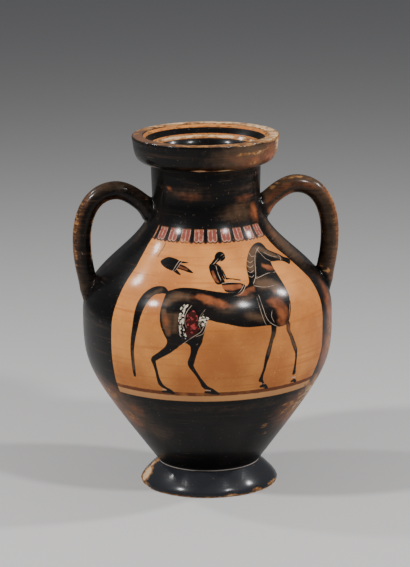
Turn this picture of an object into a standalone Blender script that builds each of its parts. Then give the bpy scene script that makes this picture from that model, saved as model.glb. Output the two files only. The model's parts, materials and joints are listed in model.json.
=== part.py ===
"""Black-figure belly amphora, one fired clay vessel with two loop handles, standing on its foot.

Metres, +Z up. The origin is the centre of the resting plane, the painted panel faces -Y
and the handles stand on +X and -X.
"""

import math

import bpy
import bmesh
from mathutils import Vector

# Heights that stack up from the resting plane to the rim
FOOT_HEIGHT = 0.0220
BELLY_RISE = 0.1494
SHOULDER_RISE = 0.1103
NECK_LENGTH = 0.0321
LIP_HEIGHT = 0.0262

# Outer radii
FOOT_RADIUS = 0.0660
FOOT_WAIST_RADIUS = 0.0484
BELLY_RADIUS = 0.1194
NECK_RADIUS = 0.0514
LIP_SEAT_RADIUS = 0.0523
LIP_RADIUS = 0.0699

# Foot, with a hollow underneath that leaves a resting ring
FOOT_EDGE = 0.0028
SOLE_BEVEL = 0.0008
FOOT_RING_WIDTH = 0.0115
FOOT_HOLLOW_DEPTH = 0.0105

# Walls
BODY_WALL = 0.0062
NECK_WALL = 0.0060
FLOOR_THICKNESS = 0.0095
RIM_WIDTH = 0.0095
RIM_ROUNDING = 0.0016
FUNNEL_DEPTH = 0.0215

# Handles
HANDLE_THICKNESS = 0.0176
HANDLE_TOP_FLARE = 0.0030
HANDLE_LOW_FLARE = 0.0012
HANDLE_FLARE_LENGTH = 0.0130
HANDLE_TOP_ROOT_DROP = 0.0451
HANDLE_CROWN_RISE = 0.0202
HANDLE_CROWN_REACH = 0.0333
HANDLE_LOW_ROOT_RISE = 0.0251
HANDLE_BEND_RISE = 0.0435
HANDLE_BULGE = 0.0068
HANDLE_TOP_SLOPE = 43.0
HANDLE_LOW_SLOPE = 16.0
HANDLE_BURIAL = 0.0015

# How far each curve of the outline follows the direction of its ends, as a share of its own rise
FLANK_SLOPE = 36.7
FLANK_START = 0.80
FLANK_END = 0.35
SHOULDER_START = 0.448
SHOULDER_END = 0.44
LIP_UNDERCUT = 0.95
LIP_BELLY = 0.55
TOE_STEEPNESS = 0.27
TOE_SLANT = 0.08
INSTEP_REACH = 0.29
INSTEP_DROP = 0.235
LIP_SEAT_LIFT = 0.0
LIP_EDGE_SLANT = 0.13
THROAT_PULL = 0.28
FUNNEL_PULL = 0.9
BOWL_FLATNESS = 0.6
BOWL_CLIMB = 0.8

# Hollow under the foot, shares of its radius and depth where it turns down to the resting ring
HOLLOW_CROWN = (0.5, 0.9)
HOLLOW_RIM = (0.9, 0.45)

# Handle curve, shares of each stretch over which it keeps the direction of its end
HANDLE_ROOT_PULL = 0.36
HANDLE_CROWN_PULL = 0.36
HANDLE_CORNER_REACH = 0.62
HANDLE_CORNER_DROP = 0.61
HANDLE_BEND_PULL = 0.37
HANDLE_LOW_PULL = 0.32

# Facets
AROUND = 60
HANDLE_BEVEL = 6
FLANK_STEPS = 10
SHOULDER_STEPS = 10
LIP_STEPS = 6
FOOT_STEPS = 4
FUNNEL_STEPS = 4
BOWL_STEPS = 5
INSIDE_STEPS = 7
HANDLE_STEPS = 8
BURY_STEPS = 60
BURY_PACE = 0.0009

# Stations that follow from the heights
WAIST_Z = FOOT_HEIGHT
BELLY_Z = WAIST_Z + BELLY_RISE
NECK_Z = BELLY_Z + SHOULDER_RISE
LIP_Z = NECK_Z + NECK_LENGTH
RIM_Z = LIP_Z + LIP_HEIGHT
CUT_OVERRUN = 0.005


def bezier(start, start_pull, end_pull, end, steps):
    """Points of a cubic curve after its start, up to and including its end."""
    ends = [Vector(p) for p in (start, start_pull, end_pull, end)]
    points = []
    for i in range(1, steps + 1):
        t = i / steps
        shares = ((1 - t) ** 3, 3 * (1 - t) ** 2 * t, 3 * (1 - t) * t**2, t**3)
        points.append(sum((p * s for p, s in zip(ends, shares)), Vector((0, 0))))
    return points


def toward(point, degrees, length):
    """The point at this length from another, at an angle above the horizontal."""
    angle = math.radians(degrees)
    return Vector(point) + Vector((math.cos(angle), math.sin(angle))) * length


def flank(steps=FLANK_STEPS):
    """Body from the foot's waist up to the widest ring."""
    start = Vector((FOOT_WAIST_RADIUS, WAIST_Z))
    end = Vector((BELLY_RADIUS, BELLY_Z))
    start_pull = toward(start, 90 - FLANK_SLOPE, BELLY_RISE * FLANK_START)
    end_pull = end - Vector((0, BELLY_RISE * FLANK_END))
    return [start] + bezier(start, start_pull, end_pull, end, steps)


def shoulder(steps=SHOULDER_STEPS):
    """Body from the widest ring up into the neck."""
    start = Vector((BELLY_RADIUS, BELLY_Z))
    end = Vector((NECK_RADIUS, NECK_Z))
    start_pull = start + Vector((0, SHOULDER_RISE * SHOULDER_START))
    end_pull = end - Vector((0, SHOULDER_RISE * SHOULDER_END))
    return bezier(start, start_pull, end_pull, end, steps)


def foot():
    """Underside and outside of the foot, from the axis to the waist."""
    ring_inside = FOOT_RADIUS - FOOT_RING_WIDTH
    hollow = [Vector((0, FOOT_HOLLOW_DEPTH))]
    for out, up in (HOLLOW_CROWN, HOLLOW_RIM):
        hollow.append(Vector((ring_inside * out, FOOT_HOLLOW_DEPTH * up)))
    hollow.append(Vector((ring_inside, 0)))
    sole = Vector((FOOT_RADIUS - SOLE_BEVEL, 0))
    toe = Vector((FOOT_RADIUS, FOOT_EDGE))
    waist = Vector((FOOT_WAIST_RADIUS, WAIST_Z))
    spread = toe.x - waist.x
    rise = waist.y - toe.y
    toe_pull = toe + Vector((-spread * TOE_SLANT, rise * TOE_STEEPNESS))
    waist_pull = waist + Vector((spread * INSTEP_REACH, -rise * INSTEP_DROP))
    outside = bezier(toe, toe_pull, waist_pull, waist, FOOT_STEPS)
    return hollow + [sole, toe] + outside[:-1]


def lip():
    """Outside of the flaring lip, from the neck to the edge of the rim."""
    seat = Vector((LIP_SEAT_RADIUS, LIP_Z))
    edge = Vector((LIP_RADIUS, RIM_Z - RIM_ROUNDING))
    flare = LIP_RADIUS - LIP_SEAT_RADIUS
    seat_pull = seat + Vector((flare * LIP_UNDERCUT, LIP_HEIGHT * LIP_SEAT_LIFT))
    edge_pull = edge - Vector((flare * LIP_EDGE_SLANT, LIP_HEIGHT * LIP_BELLY))
    return [seat] + bezier(seat, seat_pull, edge_pull, edge, LIP_STEPS)


def outline():
    """The outer profile from the centre of the foot's hollow to the centre of the mouth."""
    corner = RIM_ROUNDING * (1 - math.sqrt(0.5))
    rim_edge = Vector((LIP_RADIUS - corner, RIM_Z - corner))
    rim_top = Vector((LIP_RADIUS - RIM_ROUNDING, RIM_Z))
    centre = Vector((0, RIM_Z))
    return foot() + flank() + shoulder() + lip() + [rim_edge, rim_top, centre]


def wall_radius(height):
    """Outer radius of the body and neck at a height."""
    points = flank() + shoulder() + [Vector((LIP_SEAT_RADIUS, LIP_Z))]
    for low, high in zip(points, points[1:]):
        if low.y <= height <= high.y:
            share = (height - low.y) / (high.y - low.y)
            return low.x + (high.x - low.x) * share
    return points[-1].x


def inset(points, depth):
    """A stretch of outline moved inwards by a wall's thickness."""
    moved = []
    for i, point in enumerate(points):
        before = points[max(i - 1, 0)]
        after = points[min(i + 1, len(points) - 1)]
        run = (after - before).normalized()
        moved.append(point + Vector((-run.y, run.x)) * depth)
    return moved


def hollow_profile():
    """The inside from the floor's centre up past the mouth."""
    floor = Vector((0, FOOT_HOLLOW_DEPTH + FLOOR_THICKNESS))
    side = inset(flank(INSIDE_STEPS), BODY_WALL)[1:]
    first = side[0]
    floor_pull = Vector((first.x * BOWL_FLATNESS, floor.y))
    side_pull = first - (side[1] - first).normalized() * (first.y - floor.y) * BOWL_CLIMB
    bowl = [floor] + bezier(floor, floor_pull, side_pull, first, BOWL_STEPS)
    throat_radius = NECK_RADIUS - NECK_WALL
    throat = Vector((throat_radius, RIM_Z - FUNNEL_DEPTH))
    under = inset(shoulder(INSIDE_STEPS), BODY_WALL)[:-1] + [Vector((throat_radius, NECK_Z))]
    mouth = Vector((LIP_RADIUS - RIM_WIDTH, RIM_Z))
    shelf = mouth - Vector((RIM_ROUNDING, RIM_ROUNDING))
    slope = (mouth - shelf).normalized()
    shelf_pull = shelf - slope * (shelf.x - throat.x) * FUNNEL_PULL
    throat_pull = throat + Vector((0, FUNNEL_DEPTH * THROAT_PULL))
    funnel = [throat] + bezier(throat, throat_pull, shelf_pull, shelf, FUNNEL_STEPS)
    top = mouth + slope * CUT_OVERRUN
    return bowl + side[1:] + under + funnel + [top, Vector((0, top.y))]


def closed_mesh(mesh):
    """Joins points that coincide and turns the faces outwards."""
    shape = bmesh.new()
    shape.from_mesh(mesh)
    bmesh.ops.remove_doubles(shape, verts=shape.verts, dist=1e-6)
    bmesh.ops.recalc_face_normals(shape, faces=shape.faces)
    shape.to_mesh(mesh)
    shape.free()
    return mesh


def turned(name, profile):
    """A closed solid made by turning a profile, from axis to axis, about Z."""
    mesh = bpy.data.meshes.new(name)
    shape = bmesh.new()
    ring = [shape.verts.new((p.x, 0, p.y)) for p in profile]
    edges = [shape.edges.new(pair) for pair in zip(ring, ring[1:])]
    bmesh.ops.spin(
        shape,
        geom=ring + edges,
        cent=(0, 0, 0),
        axis=(0, 0, 1),
        angle=math.tau,
        steps=AROUND,
        use_merge=True,
    )
    shape.to_mesh(mesh)
    shape.free()
    body = bpy.data.objects.new(name, closed_mesh(mesh))
    bpy.context.collection.objects.link(body)
    return body


def handle_path():
    """Centre line of a handle, distance from the axis and height, from the neck to the shoulder."""
    top_z = LIP_Z - HANDLE_TOP_ROOT_DROP
    low_z = BELLY_Z + HANDLE_LOW_ROOT_RISE
    top = Vector((wall_radius(top_z), top_z))
    low = Vector((wall_radius(low_z), low_z))
    crown = top + Vector((HANDLE_CROWN_REACH, HANDLE_CROWN_RISE))
    bend = low + Vector((HANDLE_BULGE, HANDLE_BEND_RISE))
    top_pull = toward(top, HANDLE_TOP_SLOPE, HANDLE_CROWN_REACH * HANDLE_ROOT_PULL)
    low_pull = toward(low, 90 - HANDLE_LOW_SLOPE, HANDLE_BEND_RISE * HANDLE_LOW_PULL)
    width = bend.x - crown.x
    drop = crown.y - bend.y
    inner_crown = crown - Vector((HANDLE_CROWN_REACH * HANDLE_CROWN_PULL, 0))
    outer_crown = crown + Vector((width * HANDLE_CORNER_REACH, 0))
    over_bend = bend + Vector((0, drop * HANDLE_CORNER_DROP))
    under_bend = bend - Vector((0, HANDLE_BEND_RISE * HANDLE_BEND_PULL))
    path = [top] + bezier(top, top_pull, inner_crown, crown, HANDLE_STEPS)
    path += bezier(crown, outer_crown, over_bend, bend, HANDLE_STEPS)
    path += bezier(bend, under_bend, low_pull, low, HANDLE_STEPS)
    start = buried(top, top - top_pull, HANDLE_TOP_FLARE)
    end = buried(low, low - low_pull, HANDLE_LOW_FLARE)
    return [start] + path + [end]


def buried(root, direction, flare):
    """The point past a handle's root where its whole end lies inside the wall."""
    run = direction.normalized()
    side = Vector((-run.y, run.x)) * (HANDLE_THICKNESS / 2 + flare)
    point = root
    for _ in range(BURY_STEPS):
        corners = (point + side, point - side)
        if all(c.x + HANDLE_BURIAL < wall_radius(c.y) for c in corners):
            break
        point = point + run * BURY_PACE
    return point


def thickness(distance, length):
    """Radius of a handle at a distance along it from the neck, wider at both roots."""
    radius = HANDLE_THICKNESS / 2
    for flare, away in ((HANDLE_TOP_FLARE, distance), (HANDLE_LOW_FLARE, length - distance)):
        nearness = 1.0 - min(max(away / HANDLE_FLARE_LENGTH, 0.0), 1.0)
        radius += flare * nearness**2
    return radius


def handle(name, side):
    """A round loop handle on one side, 1 for +X and -1 for -X, as a mesh for the union."""
    path = handle_path()
    runs = [-(path[1] - path[0]).length]
    for before, after in zip(path, path[1:]):
        runs.append(runs[-1] + (after - before).length)
    visible = runs[-2]
    curve = bpy.data.curves.new(name + "_path", "CURVE")
    curve.dimensions = "3D"
    curve.bevel_depth = 1.0
    curve.bevel_resolution = HANDLE_BEVEL
    curve.use_fill_caps = True
    line = curve.splines.new("POLY")
    line.points.add(len(path) - 1)
    for point, place, run in zip(line.points, path, runs):
        point.co = (side * place.x, 0, place.y, 1)
        point.radius = thickness(run, visible)
    guide = bpy.data.objects.new(name + "_guide", curve)
    bpy.context.collection.objects.link(guide)
    graph = bpy.context.evaluated_depsgraph_get()
    mesh = bpy.data.meshes.new_from_object(guide.evaluated_get(graph))
    bpy.data.objects.remove(guide)
    loop = bpy.data.objects.new(name, closed_mesh(mesh))
    bpy.context.collection.objects.link(loop)
    return loop


def helper(thing):
    """Keeps a shape that only adds to or cuts the vessel out of the render."""
    thing.hide_render = True
    thing.display_type = "WIRE"
    return thing


def combine(vessel, other, operation):
    """Joins a helper shape to the vessel, or cuts it away."""
    step = vessel.modifiers.new(f"{operation.lower()} {other.name}", "BOOLEAN")
    step.operation = operation
    step.solver = "EXACT"
    step.object = helper(other)


def glazed_clay():
    """Black gloss on fired clay."""
    material = bpy.data.materials.new("black_gloss_clay")
    material.use_nodes = True
    shader = material.node_tree.nodes["Principled BSDF"]
    shader.inputs["Base Color"].default_value = (0.018, 0.013, 0.010, 1)
    shader.inputs["Roughness"].default_value = 0.32
    shader.inputs["Metallic"].default_value = 0.0
    return material


def amphora():
    """The vessel: a turned body with both handles joined on and the inside cut out."""
    vessel = turned("amphora", outline())
    combine(vessel, handle("handle_right", 1), "UNION")
    combine(vessel, handle("handle_left", -1), "UNION")
    combine(vessel, turned("hollow", hollow_profile()), "DIFFERENCE")
    vessel.data.materials.append(glazed_clay())
    vessel.data.shade_smooth()
    vessel.data.set_sharp_from_angle(angle=math.radians(35))
    return vessel


def main():
    for old in list(bpy.data.objects):
        bpy.data.objects.remove(old)
    amphora()


main()
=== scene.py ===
import json
import math

import bpy
import numpy as np
from mathutils import Matrix, Vector, noise

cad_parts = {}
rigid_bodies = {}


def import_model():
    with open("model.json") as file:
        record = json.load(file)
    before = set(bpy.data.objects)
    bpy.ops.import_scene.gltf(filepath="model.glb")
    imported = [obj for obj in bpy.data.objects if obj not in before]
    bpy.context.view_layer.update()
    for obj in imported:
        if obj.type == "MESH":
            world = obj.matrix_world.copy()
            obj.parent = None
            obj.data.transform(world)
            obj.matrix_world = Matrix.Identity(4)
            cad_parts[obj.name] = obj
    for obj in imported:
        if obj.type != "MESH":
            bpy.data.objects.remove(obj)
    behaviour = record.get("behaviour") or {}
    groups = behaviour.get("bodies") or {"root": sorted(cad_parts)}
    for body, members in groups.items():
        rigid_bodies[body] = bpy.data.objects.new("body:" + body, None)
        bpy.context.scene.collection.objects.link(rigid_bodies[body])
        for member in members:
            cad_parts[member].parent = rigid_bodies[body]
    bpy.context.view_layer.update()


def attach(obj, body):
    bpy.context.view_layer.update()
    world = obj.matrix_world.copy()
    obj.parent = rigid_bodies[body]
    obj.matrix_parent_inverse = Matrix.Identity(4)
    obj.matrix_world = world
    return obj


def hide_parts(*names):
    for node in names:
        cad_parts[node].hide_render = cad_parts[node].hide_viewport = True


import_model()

# Heights of the vessel from the resting plane up, in metres
FOOT_HEIGHT = 0.0220
BELLY_RISE = 0.1494
SHOULDER_RISE = 0.1103
NECK_LENGTH = 0.0321
LIP_HEIGHT = 0.0262
BELLY_Z = FOOT_HEIGHT + BELLY_RISE
NECK_Z = BELLY_Z + SHOULDER_RISE
LIP_Z = NECK_Z + NECK_LENGTH
RIM_Z = LIP_Z + LIP_HEIGHT

# Outer radii
FOOT_RADIUS = 0.0660
WAIST_RADIUS = 0.0484
BELLY_RADIUS = 0.1194
NECK_RADIUS = 0.0514
LIP_SEAT_RADIUS = 0.0523
LIP_RADIUS = 0.0699

# Foot, walls and rim
FOOT_EDGE = 0.0028
SOLE_BEVEL = 0.0008
FOOT_RING_WIDTH = 0.0115
FOOT_HOLLOW_DEPTH = 0.0105
BODY_WALL = 0.0062
NECK_WALL = 0.0060
FLOOR_THICKNESS = 0.0095
RIM_WIDTH = 0.0095
RIM_ROUNDING = 0.0016
FUNNEL_DEPTH = 0.0215
BOWL_TOP = 0.044
THROAT_LENGTH = 0.012
CUT_OVERRUN = 0.005

# Handles
HANDLE_THICKNESS = 0.0176
TOP_FLARE = 0.0030
LOW_FLARE = 0.0012
FLARE_LENGTH = 0.0130
TOP_ROOT_DROP = 0.0451
CROWN_RISE = 0.0202
CROWN_REACH = 0.0333
LOW_ROOT_RISE = 0.0251
BEND_RISE = 0.0435
BULGE = 0.0068
TOP_SLOPE = 43.0
LOW_SLOPE = 16.0
HANDLE_BURIAL = 0.0015
HANDLE_EASE = 0.0001
BURY_STEPS = 60
BURY_PACE = 0.0009

# How far each curve of the outline follows the direction of its ends, as a share of its own rise
FLANK_SLOPE = 53.3
FLANK_START = 0.80
FLANK_END = 0.35
SHOULDER_START = 0.448
SHOULDER_END = 0.44
TOE_SLANT = 0.08
TOE_STEEPNESS = 0.27
INSTEP_REACH = 0.29
INSTEP_DROP = 0.235
LIP_UNDERCUT = 0.95
LIP_EDGE_SLANT = 0.13
LIP_BELLY = 0.55
THROAT_PULL = 0.28
FUNNEL_PULL = 0.9
BOWL_FLATNESS = 0.6
BOWL_CLIMB = 0.8

# Handle curve, shares of each stretch over which it keeps the direction of its end
ROOT_PULL = 0.36
CROWN_PULL = 0.36
CORNER_REACH = 0.62
CORNER_RISE = 0.61
BEND_PULL = 0.37
LOW_PULL = 0.32

# Hollow under the foot, shares of its radius and of its depth
HOLLOW_TURN = ((0, 1), (0.25, 0.98), (0.50, 0.90), (0.72, 0.74), (0.90, 0.45), (0.97, 0.16))

# Facets of the turned clay: columns round it and the pace of its rows
COLUMNS = 120
BODY_PACE = 0.0048
LIP_PACE = 0.0017
FOOT_PACE = 0.0024
INSIDE_PACE = 0.0070
HANDLE_PACE = 0.0024
HANDLE_FACETS = 16
WELD = 1e-5

# Painted panels, heights in millimetres
PANEL_TOP = 259.5
PANEL_FOOT = 107.0
PANEL_MARGIN = 0.6
GROUND_LINE = 114.9
GROUND_HALF = 1.9
STRIP_TOP = 113.4
PAINT_HEIGHTS = (96, 268)
PANEL_FRONT = 15

# The tongues above the panels: bearings in degrees, the rest in millimetres
TONGUE_FOOT = 247.6
TONGUE_PERIOD = 12.1
FIRST_TONGUE = 3.3
TONGUE_SPREAD = 2.0
RED_END = TONGUE_FOOT + 3.2
BLACK_END = TONGUE_FOOT + 2.2
RED_HALF = 1.65
PALE_HALF = 2.20
BLACK_HALF = 1.50
OUTLINE_HALF = 3.40
OUTLINE_WIDTH = 1.0
TONGUE_ROOM = 6


# The potter's curves


def bezier(start, start_pull, end_pull, end, steps=60):
    """Points of a cubic curve after its start, up to and including its end."""
    ends = [Vector(p) for p in (start, start_pull, end_pull, end)]
    points = []
    for i in range(1, steps + 1):
        t = i / steps
        shares = ((1 - t) ** 3, 3 * (1 - t) ** 2 * t, 3 * (1 - t) * t**2, t**3)
        points.append(sum((p * s for p, s in zip(ends, shares)), Vector((0, 0))))
    return points


def toward(point, degrees, length):
    """The point at this length from another, at an angle above the horizontal."""
    angle = math.radians(degrees)
    return Vector(point) + Vector((math.cos(angle), math.sin(angle))) * length


def evenly(points, pace):
    """The same stretch of outline in even steps of about this pace."""
    places = np.array([tuple(p) for p in points])
    runs = np.r_[0, np.cumsum(np.linalg.norm(np.diff(places, axis=0), axis=1))]
    count = max(int(round(runs[-1] / pace)), 1)
    stops = np.linspace(0, runs[-1], count + 1)
    return [Vector((np.interp(s, runs, places[:, 0]), np.interp(s, runs, places[:, 1]))) for s in stops]


def flank():
    """Body from the foot's waist up to the widest ring."""
    start = Vector((WAIST_RADIUS, FOOT_HEIGHT))
    end = Vector((BELLY_RADIUS, BELLY_Z))
    start_pull = toward(start, FLANK_SLOPE, BELLY_RISE * FLANK_START)
    end_pull = end - Vector((0, BELLY_RISE * FLANK_END))
    return [start] + bezier(start, start_pull, end_pull, end)


def shoulder():
    """Body from the widest ring up into the neck."""
    start = Vector((BELLY_RADIUS, BELLY_Z))
    end = Vector((NECK_RADIUS, NECK_Z))
    start_pull = start + Vector((0, SHOULDER_RISE * SHOULDER_START))
    end_pull = end - Vector((0, SHOULDER_RISE * SHOULDER_END))
    return [start] + bezier(start, start_pull, end_pull, end)


def sole():
    """Underside of the foot from the axis to its edge."""
    ring_inside = FOOT_RADIUS - FOOT_RING_WIDTH
    hollow = [Vector((ring_inside * across, FOOT_HOLLOW_DEPTH * up)) for across, up in HOLLOW_TURN]
    ring = [Vector((ring_inside + SOLE_BEVEL / 2, 0)), Vector((FOOT_RADIUS - 2.4 * SOLE_BEVEL, 0))]
    return hollow + ring + [Vector((FOOT_RADIUS - SOLE_BEVEL, SOLE_BEVEL / 2))]


def foot_side():
    """Outside of the foot from its edge up to the waist."""
    toe = Vector((FOOT_RADIUS, FOOT_EDGE))
    waist = Vector((WAIST_RADIUS, FOOT_HEIGHT))
    spread = toe.x - waist.x
    rise = waist.y - toe.y
    toe_pull = toe + Vector((-spread * TOE_SLANT, rise * TOE_STEEPNESS))
    waist_pull = waist + Vector((spread * INSTEP_REACH, -rise * INSTEP_DROP))
    return [toe] + bezier(toe, toe_pull, waist_pull, waist)


def lip():
    """Outside of the flaring lip, from the neck to the edge of the rim."""
    seat = Vector((LIP_SEAT_RADIUS, LIP_Z))
    edge = Vector((LIP_RADIUS, RIM_Z - RIM_ROUNDING))
    flare = LIP_RADIUS - LIP_SEAT_RADIUS
    seat_pull = seat + Vector((flare * LIP_UNDERCUT, 0))
    edge_pull = edge - Vector((flare * LIP_EDGE_SLANT, LIP_HEIGHT * LIP_BELLY))
    return [seat] + bezier(seat, seat_pull, edge_pull, edge)


def rim():
    """Rounded edge and flat top of the rim, to the centre of the mouth."""
    middle = Vector((LIP_RADIUS - RIM_ROUNDING, RIM_Z - RIM_ROUNDING))
    rounding = [toward(middle, degrees, RIM_ROUNDING) for degrees in (30, 60, 90)]
    flat = [Vector((LIP_RADIUS - RIM_WIDTH * share, RIM_Z)) for share in (0.45, 0.75, 0.95)]
    return rounding + flat + [Vector((0, RIM_Z))]


def neck():
    return [Vector((NECK_RADIUS, NECK_Z)), Vector((LIP_SEAT_RADIUS, LIP_Z))]


def outside():
    """The outer profile from the centre of the foot's hollow to the centre of the mouth."""
    body = evenly(flank(), BODY_PACE) + evenly(shoulder(), BODY_PACE)[1:] + evenly(neck(), BODY_PACE)[1:-1]
    return sole() + evenly(foot_side(), FOOT_PACE)[:-1] + body + evenly(lip(), LIP_PACE) + rim()


def inset(points, depth):
    """A stretch of outline moved inwards by a wall's thickness."""
    moved = []
    for i, point in enumerate(points):
        before = points[max(i - 1, 0)]
        after = points[min(i + 1, len(points) - 1)]
        run = (after - before).normalized()
        moved.append(point + Vector((-run.y, run.x)) * depth)
    return moved


def inside():
    """The inner profile from the floor's centre up past the mouth."""
    floor = Vector((0, FOOT_HOLLOW_DEPTH + FLOOR_THICKNESS))
    side = [p for p in inset(flank(), BODY_WALL) if p.y > BOWL_TOP]
    climb = (side[1] - side[0]).normalized() * (side[0].y - floor.y) * BOWL_CLIMB
    bowl = [floor] + bezier(floor, Vector((side[0].x * BOWL_FLATNESS, floor.y)), side[0] - climb, side[0])
    throat_radius = NECK_RADIUS - NECK_WALL
    throat = Vector((throat_radius, RIM_Z - FUNNEL_DEPTH))
    under = [p for p in inset(shoulder(), BODY_WALL) if p.y < NECK_Z - THROAT_LENGTH]
    under.append(Vector((throat_radius, NECK_Z)))
    mouth = Vector((LIP_RADIUS - RIM_WIDTH, RIM_Z))
    shelf = mouth - Vector((RIM_ROUNDING, RIM_ROUNDING))
    slope = (mouth - shelf).normalized()
    shelf_pull = shelf - slope * (shelf.x - throat.x) * FUNNEL_PULL
    funnel = [throat] + bezier(throat, throat + Vector((0, FUNNEL_DEPTH * THROAT_PULL)), shelf_pull, shelf)
    top = mouth + slope * CUT_OVERRUN
    wall = evenly(bowl, INSIDE_PACE) + evenly(side, INSIDE_PACE)[1:] + evenly(under, INSIDE_PACE)[1:]
    return wall + evenly(funnel, LIP_PACE)[1:] + [mouth, top, Vector((0, top.y))]


WALL = np.array([tuple(p) for p in flank() + shoulder()[1:] + neck()[1:]])


def wall_radius(height):
    """Outer radius of the body and neck at a height."""
    return np.interp(height, WALL[:, 1], WALL[:, 0])


def handle_path():
    """Centre line of a handle, distance from the axis and height, from the neck to the shoulder."""
    top_z = LIP_Z - TOP_ROOT_DROP
    low_z = BELLY_Z + LOW_ROOT_RISE
    top = Vector((wall_radius(top_z), top_z))
    low = Vector((wall_radius(low_z), low_z))
    crown = top + Vector((CROWN_REACH, CROWN_RISE))
    bend = low + Vector((BULGE, BEND_RISE))
    top_pull = toward(top, TOP_SLOPE, CROWN_REACH * ROOT_PULL)
    low_pull = toward(low, 90 - LOW_SLOPE, BEND_RISE * LOW_PULL)
    inner_crown = crown - Vector((CROWN_REACH * CROWN_PULL, 0))
    outer_crown = crown + Vector(((bend.x - crown.x) * CORNER_REACH, 0))
    over_bend = bend + Vector((0, (crown.y - bend.y) * CORNER_RISE))
    under_bend = bend - Vector((0, BEND_RISE * BEND_PULL))
    path = [top] + bezier(top, top_pull, inner_crown, crown)
    path += bezier(crown, outer_crown, over_bend, bend)
    path += bezier(bend, under_bend, low_pull, low)
    start = buried(top, top - top_pull, TOP_FLARE)
    end = buried(low, low - low_pull, LOW_FLARE)
    return [start] + evenly(path, HANDLE_PACE) + [end]


def buried(root, direction, flare):
    """The point past a handle's root where its whole end lies inside the wall."""
    run = direction.normalized()
    side = Vector((-run.y, run.x)) * (HANDLE_THICKNESS / 2 + flare)
    point = root
    for _ in range(BURY_STEPS):
        corners = (point + side, point - side)
        if all(c.x + HANDLE_BURIAL < wall_radius(c.y) for c in corners):
            break
        point = point + run * BURY_PACE
    return point


# Modelling


def alone():
    """Nothing selected, and object mode."""
    if bpy.context.object and bpy.context.object.mode != "OBJECT":
        bpy.ops.object.mode_set(mode="OBJECT")
    bpy.ops.object.select_all(action="DESELECT")


def pick(piece):
    alone()
    piece.select_set(True)
    bpy.context.view_layer.objects.active = piece


def drawn(name, points, side=1):
    """A line of points in the XZ plane, drawn from one corner of a plane by extruding it again and again."""
    alone()
    bpy.ops.mesh.primitive_plane_add(size=0.01, location=(side * points[0].x, 0, points[0].y))
    line = bpy.context.object
    line.name = name
    bpy.ops.object.transform_apply(location=True, rotation=True, scale=True)
    bpy.ops.object.mode_set(mode="EDIT")
    bpy.ops.mesh.select_all(action="SELECT")
    bpy.ops.mesh.merge(type="CENTER")
    for before, after in zip(points, points[1:]):
        step = (side * (after.x - before.x), 0, after.y - before.y)
        bpy.ops.mesh.extrude_vertices_move(TRANSFORM_OT_translate={"value": step})
    bpy.ops.object.mode_set(mode="OBJECT")
    return line


def weld():
    """Merges doubles and turns the faces outwards, from edit mode back to object mode."""
    bpy.ops.mesh.select_all(action="SELECT")
    bpy.ops.mesh.remove_doubles(threshold=WELD)
    bpy.ops.mesh.normals_make_consistent(inside=False)
    bpy.ops.object.mode_set(mode="OBJECT")


def turned(name, profile):
    """A closed shape made by turning a profile, from axis to axis, about Z."""
    shape = drawn(name, profile)
    bpy.ops.object.mode_set(mode="EDIT")
    bpy.ops.mesh.select_all(action="SELECT")
    bpy.ops.mesh.spin(steps=COLUMNS, angle=math.tau, center=(0, 0, 0), axis=(0, 0, 1))
    weld()
    return shape


def thickness(distance, length):
    """Radius of a handle at a distance along it from the neck, wider at both roots."""
    radius = HANDLE_THICKNESS / 2 - HANDLE_EASE
    for flare, away in ((TOP_FLARE, distance), (LOW_FLARE, length - distance)):
        nearness = 1.0 - min(max(away / FLARE_LENGTH, 0.0), 1.0)
        radius += flare * nearness**2
    return radius


def rolled_handle(name, side):
    """A round loop handle, as a rolled strand of clay along its path."""
    path = handle_path()
    strand = drawn(name, path, side)
    bpy.ops.object.convert(target="CURVE")
    strand = bpy.context.object
    runs = [-(path[1] - path[0]).length]
    for before, after in zip(path, path[1:]):
        runs.append(runs[-1] + (after - before).length)
    length = runs[-2]
    curve = strand.data
    curve.dimensions = "3D"
    curve.bevel_depth = 1.0
    curve.bevel_resolution = HANDLE_FACETS
    curve.use_fill_caps = True
    line = curve.splines[0]
    first = Vector((side * path[0].x, 0, path[0].y))
    starts_at_neck = (line.points[0].co.xyz - first).length < 10 * WELD
    if not starts_at_neck:
        runs = runs[::-1]
    for point, run in zip(line.points, runs):
        point.radius = thickness(run, length)
    bpy.ops.object.convert(target="MESH")
    strand = bpy.context.object
    bpy.ops.object.mode_set(mode="EDIT")
    weld()
    return strand


def worked(vessel, other, operation):
    """Joins another shape to the vessel or cuts it away, and clears it off."""
    pick(vessel)
    step = vessel.modifiers.new(other.name, "BOOLEAN")
    step.operation = operation
    step.solver = "EXACT"
    step.object = other
    bpy.ops.object.modifier_apply(modifier=step.name)
    bpy.data.objects.remove(other)


def places(vessel):
    """The vertices' places as an array, in metres."""
    mesh = vessel.data
    spots = np.empty(len(mesh.vertices) * 3)
    mesh.vertices.foreach_get("co", spots)
    return spots.reshape(-1, 3)


def put(vessel, spots):
    vessel.data.vertices.foreach_set("co", spots.ravel())
    vessel.data.update()


def face_middles(vessel):
    mesh = vessel.data
    middles = np.empty(len(mesh.polygons) * 3)
    mesh.polygons.foreach_get("center", middles)
    return middles.reshape(-1, 3)


def select_faces(vessel, chosen):
    mesh = vessel.data
    mesh.vertices.foreach_set("select", np.zeros(len(mesh.vertices), bool))
    mesh.edges.foreach_set("select", np.zeros(len(mesh.edges), bool))
    mesh.polygons.foreach_set("select", chosen)
    mesh.update()


def cut_finer(vessel, chosen, cuts):
    """Divides the chosen faces, so that a fine edge of paint can lie on them."""
    pick(vessel)
    select_faces(vessel, chosen)
    bpy.ops.object.mode_set(mode="EDIT")
    bpy.ops.mesh.select_mode(type="FACE")
    bpy.ops.mesh.subdivide(number_cuts=cuts, smoothness=0, ngon=False)
    bpy.ops.object.mode_set(mode="OBJECT")


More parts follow.
